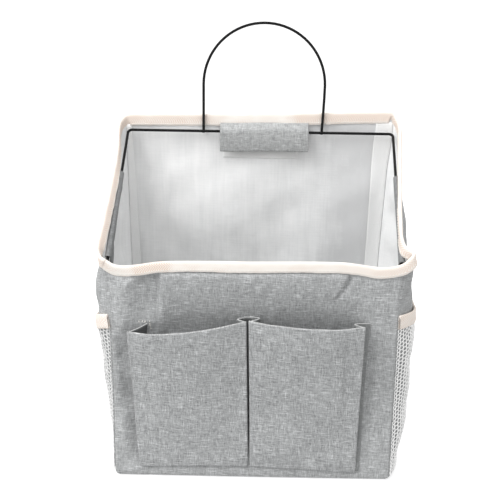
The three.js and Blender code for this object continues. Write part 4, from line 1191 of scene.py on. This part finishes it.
P, n, uv, s = strip_flap("", line, us, at_back, 0.9, None, None, None, None, 101, wobble=0.32)
if n[..., 1].mean() > 0:
    n = -n
flap = cloth_piece("back_flap_cloth", P + n * 0.5, P - n * 0.45, [LINEN_TAB], seed=101.0, uv=uv, roll=0.35,
            blend=("bag", "back_flap", (0, 61.3 * MM, 275.25 * MM), (0, 57.7 * MM, 270.45 * MM)), replaces=["back_flap"], slot="linen")
low = P[-1]
stx = np.arange(us[0] + 3, us[-1] - 4.2, 3.1)


def flap_point(x, k):
    return np.stack([np.interp(x, P[k, :, 0], P[k, :, j]) for j in range(3)], -1)


threads("back_flap_stitches", flap_point(stx, -4) + [0, -0.48, 0], flap_point(stx + 2.1, -4) + [0, -0.48, 0], np.tile([0, -1.0, 0.0], (len(stx), 1)), [THREAD_GREY], radius=0.2, lift=0.1, body="back_flap", slot="linen")


def pad_tape(name, xs, zs, y_out, thick, mat, body, replaces, slot, seed, toward=-1):
    """A flat tape of cloth lying on y_out(x, z), its outer face towards -Y (toward -1) or +Y."""
    X, Z = np.meshgrid(xs, zs)
    y = y_out(X, Z)
    A = np.stack([X, y + toward * thick, Z], -1)
    B = np.stack([X, y, Z], -1)
    if toward > 0:
        A, B = A[:, ::-1], B[:, ::-1]
    return cloth_piece(name, A, B, [mat], seed=seed, uv=np.stack([A[..., 0], A[..., 2]], -1), roll=0.35, body=body, replaces=replaces, slot=slot)


xs = np.linspace(3.4 - 36, 3.4 + 36, 46)
flap_y = lambda X, Z: np.interp(Z, P[::-1, 0, 2], P[::-1, 0, 1]) + 0.62
pad_tape("back_flap_hooks", xs, np.linspace(251.8, 259.6, 9), flap_y, 0.9, HOOK, "back_flap", ["back_flap_hook_tape"], "hook_tape", 5.0, toward=1)
pad_tape("back_wall_loops", np.linspace(-32.5, 33.5, 46), np.linspace(244.2, 262, 12), lambda X, Z: back_inner(X, Z) - 0.02, 0.75, LOOP, "bag", ["back_wall_loop_tape"], "loop_tape", 6.0, toward=-1)


def front_inner(x, z):
    """y of the front wall's inner face."""
    T = 182.0
    w = 1 - smooth(2, 8, T - z)
    return (FRONT_Y + TH - front_relief(x, z)) * (1 - w) + (-65 + 0.55) * w


line = [(-62.3, 175.2), (-61.6, 176.2), (-60.1, 176.5), (-58.9, 175.6), (-58.5, 173.5), (-58.4, 167.5), (-58.2, 162.4), (-57.6, 157), (-57.2, 152.6)]
us = finely(148.0, 4.0, 2.2, (0, 0.4, 1.0, 2.0)) - 74


def at_front(u, a, b, off):
    return np.stack([u, a + off * 0.7 * smooth(172, 165, b), b + 0.2 * np.sin(u * 0.09)], -1)


P, n, uv, s = strip_flap("", line, us, at_front, 0.9, None, None, None, None, 111, wobble=0.22)
if n[..., 1].mean() < 0:
    n = -n
# painted shade: the front flap gets the dark flap linen
flap = cloth_piece("front_flap_cloth", P + n * 0.45, P - n * 0.45, [LINEN_PAINTED_SHADE], seed=111.0, uv=uv, roll=0.35, body="front_flap",
            replaces=["front_flap"], slot="linen")
flap_y = lambda X, Z: np.interp(Z, P[::-1, 30, 2], P[::-1, 30, 1]) - 0.55
pad_tape("front_flap_hooks", np.linspace(-68, 68, 70), np.linspace(153.7, 161.7, 8), flap_y, 0.7, HOOK, "front_flap", ["front_flap_hook_tape"], "hook_tape", 7.0, toward=-1)
pad_tape("front_wall_loops", np.linspace(-68, 68, 80), np.linspace(152.5, 163.5, 11), lambda X, Z: front_inner(X, Z) + 0.02, 0.75, LOOP, "bag", ["front_wall_loop_tape"], "loop_tape", 8.0, toward=1)

# side flaps: over the ring's arms
ring_dir = (RING_B - RING_F) / np.linalg.norm(RING_B - RING_F)
ring_up = np.array([-ring_dir[1], ring_dir[0]])
side_line = [(119.3, 0.4), (118.7, 1.7), (117.2, 2.25), (115.7, 1.5), (115.2, -0.4), (115.9, -3.5), (117.3, -8.0), (118.7, -14.0), (119.8, -24.4)]
y_from, y_to = -53.0, 18.0
l0 = (y_from - RING_F[0]) / ring_dir[0]
l1 = (y_to - RING_F[0]) / ring_dir[0]


def at_side(side):
    def f(u, a, b, off):
        ahead = 1 - smooth(l0, l0 + 40, u)
        b = np.where(b < -7, -7 + (b + 7) * (1 - 0.25 * smooth(l0 + 8, l1, u)), b)
        if side < 0:
            a = a - 1.9 * ahead * smooth(-4, -12, b)
        yy = RING_F[0] + ring_dir[0] * u + ring_up[0] * b
        zz = RING_F[1] + ring_dir[1] * u + ring_up[1] * b
        return np.stack([side * (a - off * 0.8), yy, zz], -1)
    return f


for side, word in ((-1, "left"), (1, "right")):
    us = l0 + finely(l1 - l0, 4.0, 2.2, (0, 0.4, 1.0, 2.0))
    P, n, uv, s = strip_flap("", side_line, us, at_side(side), 0.9, None, None, None, None, 121 + side, wobble=0.3)
    if (n[..., 0] * side).mean() > 0:
        n = -n
    root = [tuple(np.array([side * a, RING_F[0] + ring_up[0] * b, RING_F[1] + ring_up[1] * b]) * MM) for a, b in ((118.3, 1.3), (116.4, -2.0))]
    # painted shade: the side flaps get the dark flap linen
    flap = cloth_piece(word + "_flap_cloth", P + n * 0.45, P - n * 0.45, [LINEN_PAINTED_SHADE], seed=121.0 + side, uv=uv, roll=0.35,
                blend=("bag", word + "_flap", root[0], root[1]), replaces=[word + "_flap"], slot="linen")
    # touch-fastener tapes between the flap and the wall
    low_dir = np.array([1.5, -8.0]) / math.hypot(1.5, 8.0)
    out_dir = np.array([-low_dir[1], low_dir[0]])
    for kind, mat, o0, o1, c0, c1, bod in (("hooks", HOOK, 0.9, 1.7, 4, 14, word + "_flap"), ("loops", LOOP, 2.0, 2.8, 3.5, 15, "bag")):
        uu = np.linspace(l0 + 3, l1 - 3, 34)
        cc = np.linspace(c0, c1, 10)
        U, Cc = np.meshgrid(uu, cc)
        faces2 = []
        for o in (o0, o1):
            aa = 117.6 + out_dir[0] * o + low_dir[0] * Cc
            bb = -6 + out_dir[1] * o + low_dir[1] * Cc
            faces2.append(np.stack([side * aa, RING_F[0] + ring_dir[0] * U + ring_up[0] * bb, RING_F[1] + ring_dir[1] * U + ring_up[1] * bb], -1))
        cloth_piece(f"{word}_flap_{kind}" if kind == "hooks" else f"{word}_wall_loops", faces2[1], faces2[0], [mat], seed=9.0, uv=np.stack([U, Cc], -1), roll=0.35,
                    body=bod, replaces=[word + ("_flap_hook_tape" if kind == "hooks" else "_wall_loop_tape")], slot="hook_tape" if kind == "hooks" else "loop_tape")


# ------------------------------------------------------------------ tapes over the inside seams
def seam_strip(name, wall_fn, total, edge0, edge1, F, node, seed, top_cut=4.0):
    """A tape on a wall's inner face. edge0 and edge1 give its two sides' distances from the panel's left seam at each height."""
    share = np.linspace(0, 1, 11)
    cols = []
    fine = np.linspace(min(edge0(z) for z in (0, 150, 280)) - 1, max(edge1(z) for z in (0, 150, 280)) + 1, 40)
    layers = []
    for d in (TH + 0.75, TH + 0.08):
        G = wall_fn(fine, d, F)[len(PHI) - 1 :]
        P = np.zeros((G.shape[0], len(share), 3))
        for i in range(G.shape[0]):
            z = G[i, :, 2].mean()
            q = edge0(z) + (edge1(z) - edge0(z)) * share
            for k in range(3):
                P[i, :, k] = np.interp(q, fine, G[i, :, k])
        layers.append(P)
    A, B = layers
    keep = A[:, 5, 2] < A[-1, 5, 2] - top_cut
    A, B = A[keep], B[keep]
    if "front" in name:
        A, B = A[:, ::-1], B[:, ::-1]
    uv = np.stack([A[..., 0], A[..., 2]], -1)
    return cloth_piece(name, A, B, [BONDED], seed=seed, uv=uv, roll=0.3, replaces=[node], slot="seam_tape")


level = lambda v: (lambda z: v + 0 * z)
seam_strip("back_left_seam_cover", back_wall, BACK_W, level(0.25), curve([(0, 9.6), (144, 9.0), (275, 4.6)], 8), F_BACK, "back_left_seam_tape", 3.0)
seam_strip("back_right_seam_cover", back_wall, BACK_W, curve([(0, BACK_W - 12), (146, BACK_W - 12.2), (275, BACK_W - 14.6)], 8), level(BACK_W - 0.25), F_BACK, "back_right_seam_tape", 4.0)
seam_strip("front_left_seam_cover", front_wall, FRONT_W, level(2.0), level(12.6), F_FRONT, "front_left_seam_tape", 5.0)
seam_strip("front_right_seam_cover", front_wall, FRONT_W, level(FRONT_W - 12.6), level(FRONT_W - 2.0), F_FRONT, "front_right_seam_tape", 6.0)

# the tape round the bottom seam, a frame on the bottom's inner face
base = bottom_face(TH)
loop = np.vstack([base[0, 8:-8], base[8:-8, -1], base[-1, 8:-8][::-1], base[8:-8, 0][::-1]])
centre = loop.mean(0)
ctr = []
outer_x, outer_y = 106.5, 58.6


def frame_loop(hx0, hx1, hy, r, z, n=240):
    pts = []
    for cx, cy, a0 in ((hx1 - r, -hy + r, -90), (hx1 - r, hy - r, 0), (hx0 + r, hy - r, 90), (hx0 + r, -hy + r, 180)):
        for k in range(13):
            a = math.radians(a0 + 90 * k / 12)
            pts.append((cx + r * math.cos(a), cy + r * math.sin(a), z))
    P = np.array(pts + pts[:1])
    return resample(P, n + 1)[:-1]


outer = frame_loop(-109.2, 106.8, 60.2, 3.0, 0)
inner = frame_loop(-99.2, 96.8, 50.2, 2.0, 0)
C = 8
share = np.linspace(0, 1, C)[None, :, None]
M0 = outer[:, None] * (1 - share) + inner[:, None] * share
wv = waves(41, 25, 60, 0.5)
M0[..., 2] = TH + 0.12 + 0.5 * smooth(4, 40, share[..., 0] * 10 + 2) + 0.15
top = M0.copy()
top[..., 2] += 0.5
n0 = len(outer)
idx = np.arange(n0 * C).reshape(n0, C)
nx = np.roll(idx, -1, 0)
q_top = np.stack([idx[:, :-1], nx[:, :-1], nx[:, 1:], idx[:, 1:]], -1).reshape(-1, 4)
k = n0 * C
e1 = np.stack([idx[:, 0], nx[:, 0], nx[:, 0] + k, idx[:, 0] + k], -1)
e2 = np.stack([idx[:, -1], nx[:, -1], nx[:, -1] + k, idx[:, -1] + k], -1)
V = np.vstack([top.reshape(-1, 3), M0.reshape(-1, 3)])
piece("bottom_seam_cover", V, np.vstack([q_top, q_top[:, ::-1] + k, e1, e2]), [BONDED], cloth=V[:, [0, 1, 2]], replaces=["bottom_seam_tape"], slot="seam_tape")


# ------------------------------------------------------------------ net pockets on the sides
NET_F = np.linspace(0, 1, 120)
NET_LOW, NET_HIGH = 5.5, {-1: 117.2, 1: 126.0}


class Wall:
    """Looks up a side wall's outer face by distance from the front seam and height."""

    def __init__(self, side):
        self.q = np.linspace(0, SIDE_W, 131)
        self.P = side_wall(side, self.q, 0.0, NET_F, groove=False)[len(PHI) - 1 :]
        self.z = np.linspace(0, 170, 171)
        cols = []
        for j in range(len(self.q)):
            col = self.P[:, j]
            cols.append(np.stack([np.interp(self.z, col[:, 2], col[:, k]) for k in range(2)], -1))
        self.xy = np.array(cols)  # q, z, 2

    def at(self, q, z):
        q = np.clip(np.asarray(q, float), 0, SIDE_W)
        z = np.clip(np.asarray(z, float), 0, 170)
        i = np.clip(np.floor(q).astype(int), 0, 129)
        j = np.clip(np.floor(z).astype(int), 0, 169)
        a, b = q - i, z - j
        a, b = a[..., None], b[..., None]
        xy = (self.xy[i, j] * (1 - a) * (1 - b) + self.xy[i + 1, j] * a * (1 - b) + self.xy[i, j + 1] * (1 - a) * b + self.xy[i + 1, j + 1] * a * b)
        return np.concatenate([xy, z[..., None]], -1)


WALLS = {-1: Wall(-1), 1: Wall(1)}
net_wave = {-1: waves(131, 30, 70, 0.5), 1: waves(132, 30, 70, 0.5)}


NET_LEFT_TOP = curve([(-20, 124.6), (0, 124.6), (9, 121.0), (19, 117.4), (32, 115.8), (60, 117.0), (100, 121.5), (130, 124.5), (150, 124.5)], 3)
NET_RIGHT_TOP = curve([(-20, 129.2), (0, 129.2), (35, 127.4), (70, 126.2), (100, 126.4), (130, 127.6), (150, 127.6)], 5)


def net_top(side, q):
    """Height of the net's upper edge, middle of the bound tape's lower line."""
    return (NET_LEFT_TOP if side < 0 else NET_RIGHT_TOP)(q)


def net_place(side, q, z, extra=0.0):
    """A point of the net's surface: the wall, and the stand-off that grows towards the mouth."""
    q, z = np.broadcast_arrays(np.asarray(q, float), np.asarray(z, float))
    w = WALLS[side]
    P = w.at(q, z)
    du = w.at(q + 1.2, z) - w.at(q - 1.2, z)
    n = np.stack([du[..., 1], -du[..., 0], np.zeros(q.shape)], -1) * side
    n /= np.linalg.norm(n, axis=-1)[..., None]
    share = np.clip(z / net_top(side, q), 0, 1.3)
    ends = smooth(0, 22, q) * smooth(0, 22, SIDE_W - q)
    full = (2.4 * smooth(0, 0.4, share) - 1.3 * smooth(0.62, 1.0, share)) + (0.9 if side > 0 else 0.5)
    belly = 0.55 + full * ends ** 0.8 * smooth(0, 0.08, share)
    belly = belly + net_wave[side](q, z) * ends * 0.5
    return P + n * (belly + extra)[..., None], n


def net_piece(side, word):
    pitch, col = 3.25, 2.9
    hole = 1.28
    V, F, CL = [], [], []
    k = 10
    ang = np.arange(k) / k * TAU + TAU / 20
    # a hexagon's edge in the same 12 directions
    hexr = []
    for a in ang:
        # cell centres are col apart across and pitch apart up; the cell is the hexagon between neighbours
        dirs = [(0, pitch), (0, -pitch), (col, pitch / 2), (col, -pitch / 2), (-col, pitch / 2), (-col, -pitch / 2)]
        best = 1e9
        for dx, dz in dirs:
            dd = math.hypot(dx, dz)
            c = (math.cos(a) * dx + math.sin(a) * dz) / dd
            if c > 1e-6:
                best = min(best, dd / 2 / c)
        hexr.append(best)
    hexr = np.array(hexr)
    nq = int((SIDE_W - 2.0) / col)
    base = 0
    for i in range(nq + 1):
        q0 = 1.0 + i * col + 0.5
        ztop = float(net_top(side, min(q0, SIDE_W)))
        nz = int((ztop - NET_LOW) / pitch) + 1
        for j in range(nz):
            z0 = NET_LOW + 1.2 + j * pitch + (pitch / 2 if i % 2 else 0)
            if z0 > ztop + 1.0:
                continue
            jit = 0.10 * math.sin(i * 2.3 + j * 1.7)
            rings = []
            for r, o in ((hexr, 0.16), (hexr * 0.5 + hole * 0.5, 0.36), (np.full(k, hole * 1.03), 0.20), (np.full(k, hole * 0.98), -0.12), (hexr * 0.5 + hole * 0.5, -0.30), (hexr, -0.14)):
                qq = q0 + np.cos(ang) * r * (1.0 + 0.05 * jit)
                zz = z0 + np.sin(ang) * r * (1.04 if r is not hexr else 1.0)
                qq = np.clip(qq, 0.3, SIDE_W - 0.3)
                zz = np.clip(zz, NET_LOW - 1.0, ztop + 2.2)
                rings.append((qq, zz, o))
            qq = np.concatenate([r[0] for r in rings])
            zz = np.concatenate([r[1] for r in rings])
            oo = np.concatenate([np.full(k, r[2]) for r in rings])
            V.append((qq, zz, oo))
            idx = base + np.arange(6 * k).reshape(6, k)
            a, b = idx[:-1], idx[1:]
            F.append(np.stack([a, b, np.roll(b, -1, 1), np.roll(a, -1, 1)], -1).reshape(-1, 4))
            base += 6 * k
    qq = np.concatenate([v[0] for v in V])
    zz = np.concatenate([v[1] for v in V])
    oo = np.concatenate([v[2] for v in V])
    P, _ = net_place(side, qq, zz)
    _, n = net_place(side, qq, zz)
    P = P + n * oo[:, None]
    F = np.vstack(F)
    # painted light: the right net gets the glowing net material
    ob = piece(word + "_net", P, F, [NET if side < 0 else NET_PAINTED_GLOW], cloth=np.stack([qq, zz, np.full(len(qq), 1.0 * side)], -1), recalc=False,
               replaces=[word + "_net_pocket"], slot="net")
    bm = bmesh.new()
    bm.from_mesh(ob.data)
    bmesh.ops.remove_doubles(bm, verts=bm.verts, dist=0.00004)
    bmesh.ops.recalc_face_normals(bm, faces=bm.faces)
    bm.to_mesh(ob.data)
    bm.free()
    ob.data.polygons.foreach_set("use_smooth", np.ones(len(ob.data.polygons), bool))
    ob.data.update()
    return ob


for side, word in ((-1, "left"), (1, "right")):
    net_piece(side, word)
    # the bound edge: a folded tape, its lower lines over the net
    q = finely(SIDE_W - 0.8, 8.0, 1.8) + 0.4
    low = net_top(side, q)
    tall = np.where(side < 0, 11.2, 11.6 + 4.5 * (1 - smooth(2, 30, q)) * 0)
    secs = [(0.95, -0.2), (1.12, 0.6), (1.15, 4), (1.15, 7.6), (1.02, 10.2), (0.6, 11.1), (0.0, 11.4), (-0.6, 11.1), (-1.02, 10.2), (-1.15, 7.6), (-1.15, 4), (-1.12, 0.6), (-0.95, -0.2), (-0.5, -0.25), (-0.35, 0.4), (-0.35, 9.2), (0.35, 9.2), (0.35, 0.4), (0.5, -0.25)]
    S = len(secs)
    V = np.zeros((len(q), S, 3))
    slope = np.gradient(low, q)
    for k, (o, h) in enumerate(secs):
        P, n = net_place(side, q - h * slope * 0.5, low + h)
        Pl, nl = net_place(side, q, low)
        V[:, k] = P + n * (o + 0.25)
    idx = np.arange(len(q) * S).reshape(len(q), S)
    a, b = idx[:-1], idx[1:]
    F = np.stack([a, b, np.roll(b, -1, 1), np.roll(a, -1, 1)], -1).reshape(-1, 4).tolist()
    F.append(idx[0].tolist())
    F.append(idx[-1][::-1].tolist())
    per = np.concatenate([[0], np.cumsum(np.linalg.norm(np.diff(np.array(secs), axis=0), axis=1))])
    cl = np.stack([np.broadcast_to(q[:, None], (len(q), S)), np.broadcast_to(per[None], (len(q), S)), np.full((len(q), S), 30.0 * side)], -1)
    # the net's bound edge carries a fixed level of painted tan shade
    piece(word + "_net_tape", V.reshape(-1, 3), F, [BIND], cloth=cl.reshape(-1, 3), replaces=[word + "_net_binding"], slot="binding", painted_shade=0.45)
    sq = np.arange(2.5, SIDE_W - 4.5, 2.9)
    Pa, na = net_place(side, sq, net_top(side, sq) + 1.6)
    Pb, nb = net_place(side, sq + 2.05, net_top(side, sq + 2.05) + 1.6)
    threads(word + "_net_stitches", Pa + na * 1.40, Pb + nb * 1.40, na, [THREAD], radius=0.22, lift=0.1)

# ------------------------------------------------------------------ small threads
# bar tacks where the gussets' tops are sewn to the wall
for name, spots, seed in (
    ("bar_tack_1", [(-90.6, 129.9), (-88.8, 130.6), (-86.6, 130.2), (-82.4, 130.3), (-82.0, 128.3), (-82.4, 126.3), (-82.0, 124.3)], 1),
):
    rng = np.random.default_rng(seed)
    a, b = [], []
    for x, z in spots:
        y0 = FRONT_Y - float(front_relief(np.array(x), np.array(z))) - 0.15
        a.append((x + rng.uniform(-0.4, 0.4), y0, z - 0.8 + rng.uniform(-0.4, 0.4)))
        b.append((x + rng.uniform(-0.9, 1.2), y0, z + 0.9 + rng.uniform(-0.5, 0.5)))
    threads(name, a, b, np.tile([0, -1.0, 0], (len(a), 1)), [THREAD], radius=0.33, lift=0.5)

# ------------------------------------------------------------------ stage
me = bpy.data.meshes.new("floor")
S = 3.4
me.from_pydata([(S * math.cos(a), S * math.sin(a), -0.0002) for a in np.linspace(0, TAU, 96, endpoint=False)], [], [list(range(96))])
floor = bpy.data.objects.new("floor", me)
bpy.context.scene.collection.objects.link(floor)
g = Graph("floor_white")
floor.data.materials.append(g.finish((0.9, 0.9, 0.9), 0.9, Specular_IOR_Level=0.0, Emission_Color=(1, 1, 1, 1), Emission_Strength=0.44))
floor.visible_diffuse = False
floor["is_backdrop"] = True

# a pale curved wall all round, seen by the camera only, so that it changes no light
section = [(S - 0.02, -0.0004)] + [(S + 1.6 * math.sin(a), 1.6 * (1 - math.cos(a))) for a in np.linspace(0, TAU / 4, 13)] + [(S + 1.6, 9.0)]
around = np.linspace(0, TAU, 96, endpoint=False)
verts = [(r * math.cos(a), r * math.sin(a), h) for r, h in section for a in around]
faces = [(i * 96 + j, i * 96 + (j + 1) % 96, (i + 1) * 96 + (j + 1) % 96, (i + 1) * 96 + j) for i in range(len(section) - 1) for j in range(96)]
me = bpy.data.meshes.new("backdrop")
me.from_pydata(verts, [], faces)
me.polygons.foreach_set("use_smooth", np.ones(len(faces), bool))
backdrop = bpy.data.objects.new("backdrop", me)
bpy.context.scene.collection.objects.link(backdrop)
backdrop.data.materials.append(floor.data.materials[0])
backdrop.visible_diffuse = backdrop.visible_glossy = backdrop.visible_transmission = backdrop.visible_shadow = False
backdrop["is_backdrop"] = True

world = bpy.data.worlds.new("studio")
bpy.context.scene.world = world
world.use_nodes = True
world.node_tree.nodes["Background"].inputs[0].default_value = (1, 1, 1, 1)
world.node_tree.nodes["Background"].inputs[1].default_value = 0.785


def area(name, place, look, size, power, color=(1, 1, 1)):
    l = bpy.data.lights.new(name, "AREA")
    l.shape = "SQUARE"
    l.size = size
    l.energy = power
    l.color = color
    o = bpy.data.objects.new(name, l)
    o.location = place
    o.rotation_euler = (Vector(look) - Vector(place)).to_track_quat("-Z", "Y").to_euler()
    bpy.context.scene.collection.objects.link(o)
    return o


area("key", (-1.23, -0.92, 1.51), (0, 0, 0.16), 1.1, 20.0)
area("top", (-0.3, -0.35, 2.1), (0, 0, 0.16), 1.4, 20.0)
area("fill", (1.0, -0.9, 1.65), (0, 0, 0.16), 1.3, 2.5)

# ------------------------------------------------------------------ camera
C = Vector((0.02596, -0.80963, 0.38024))
w = Vector((-0.03744628, 0.9686169, -0.24572156)).normalized()
r = w.cross(Vector((0, 0, 1))).normalized()
u = r.cross(w)
roll = math.radians(0.683)
right = r * math.cos(roll) + u * math.sin(roll)
up = -r * math.sin(roll) + u * math.cos(roll)
cam = bpy.data.cameras.new("camera")
cam.sensor_fit = "HORIZONTAL"
cam.sensor_width = 36.0
cam.lens = 982.68 / 500 * 36.0
cam.clip_start = 0.05
cam.clip_end = 60.0
cam_ob = bpy.data.objects.new("camera", cam)
bpy.context.scene.collection.objects.link(cam_ob)
cam_ob.matrix_world = Matrix((
    (right.x, up.x, -w.x, C.x),
    (right.y, up.y, -w.y, C.y),
    (right.z, up.z, -w.z, C.z),
    (0, 0, 0, 1),
))
bpy.context.scene.camera = cam_ob
bpy.context.scene.view_settings.view_transform = "Standard"

bpy.context.view_layer.update()
low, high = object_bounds()
{"cad": [list(cad_low), list(cad_high)], "visual": [list(low), list(high)]}
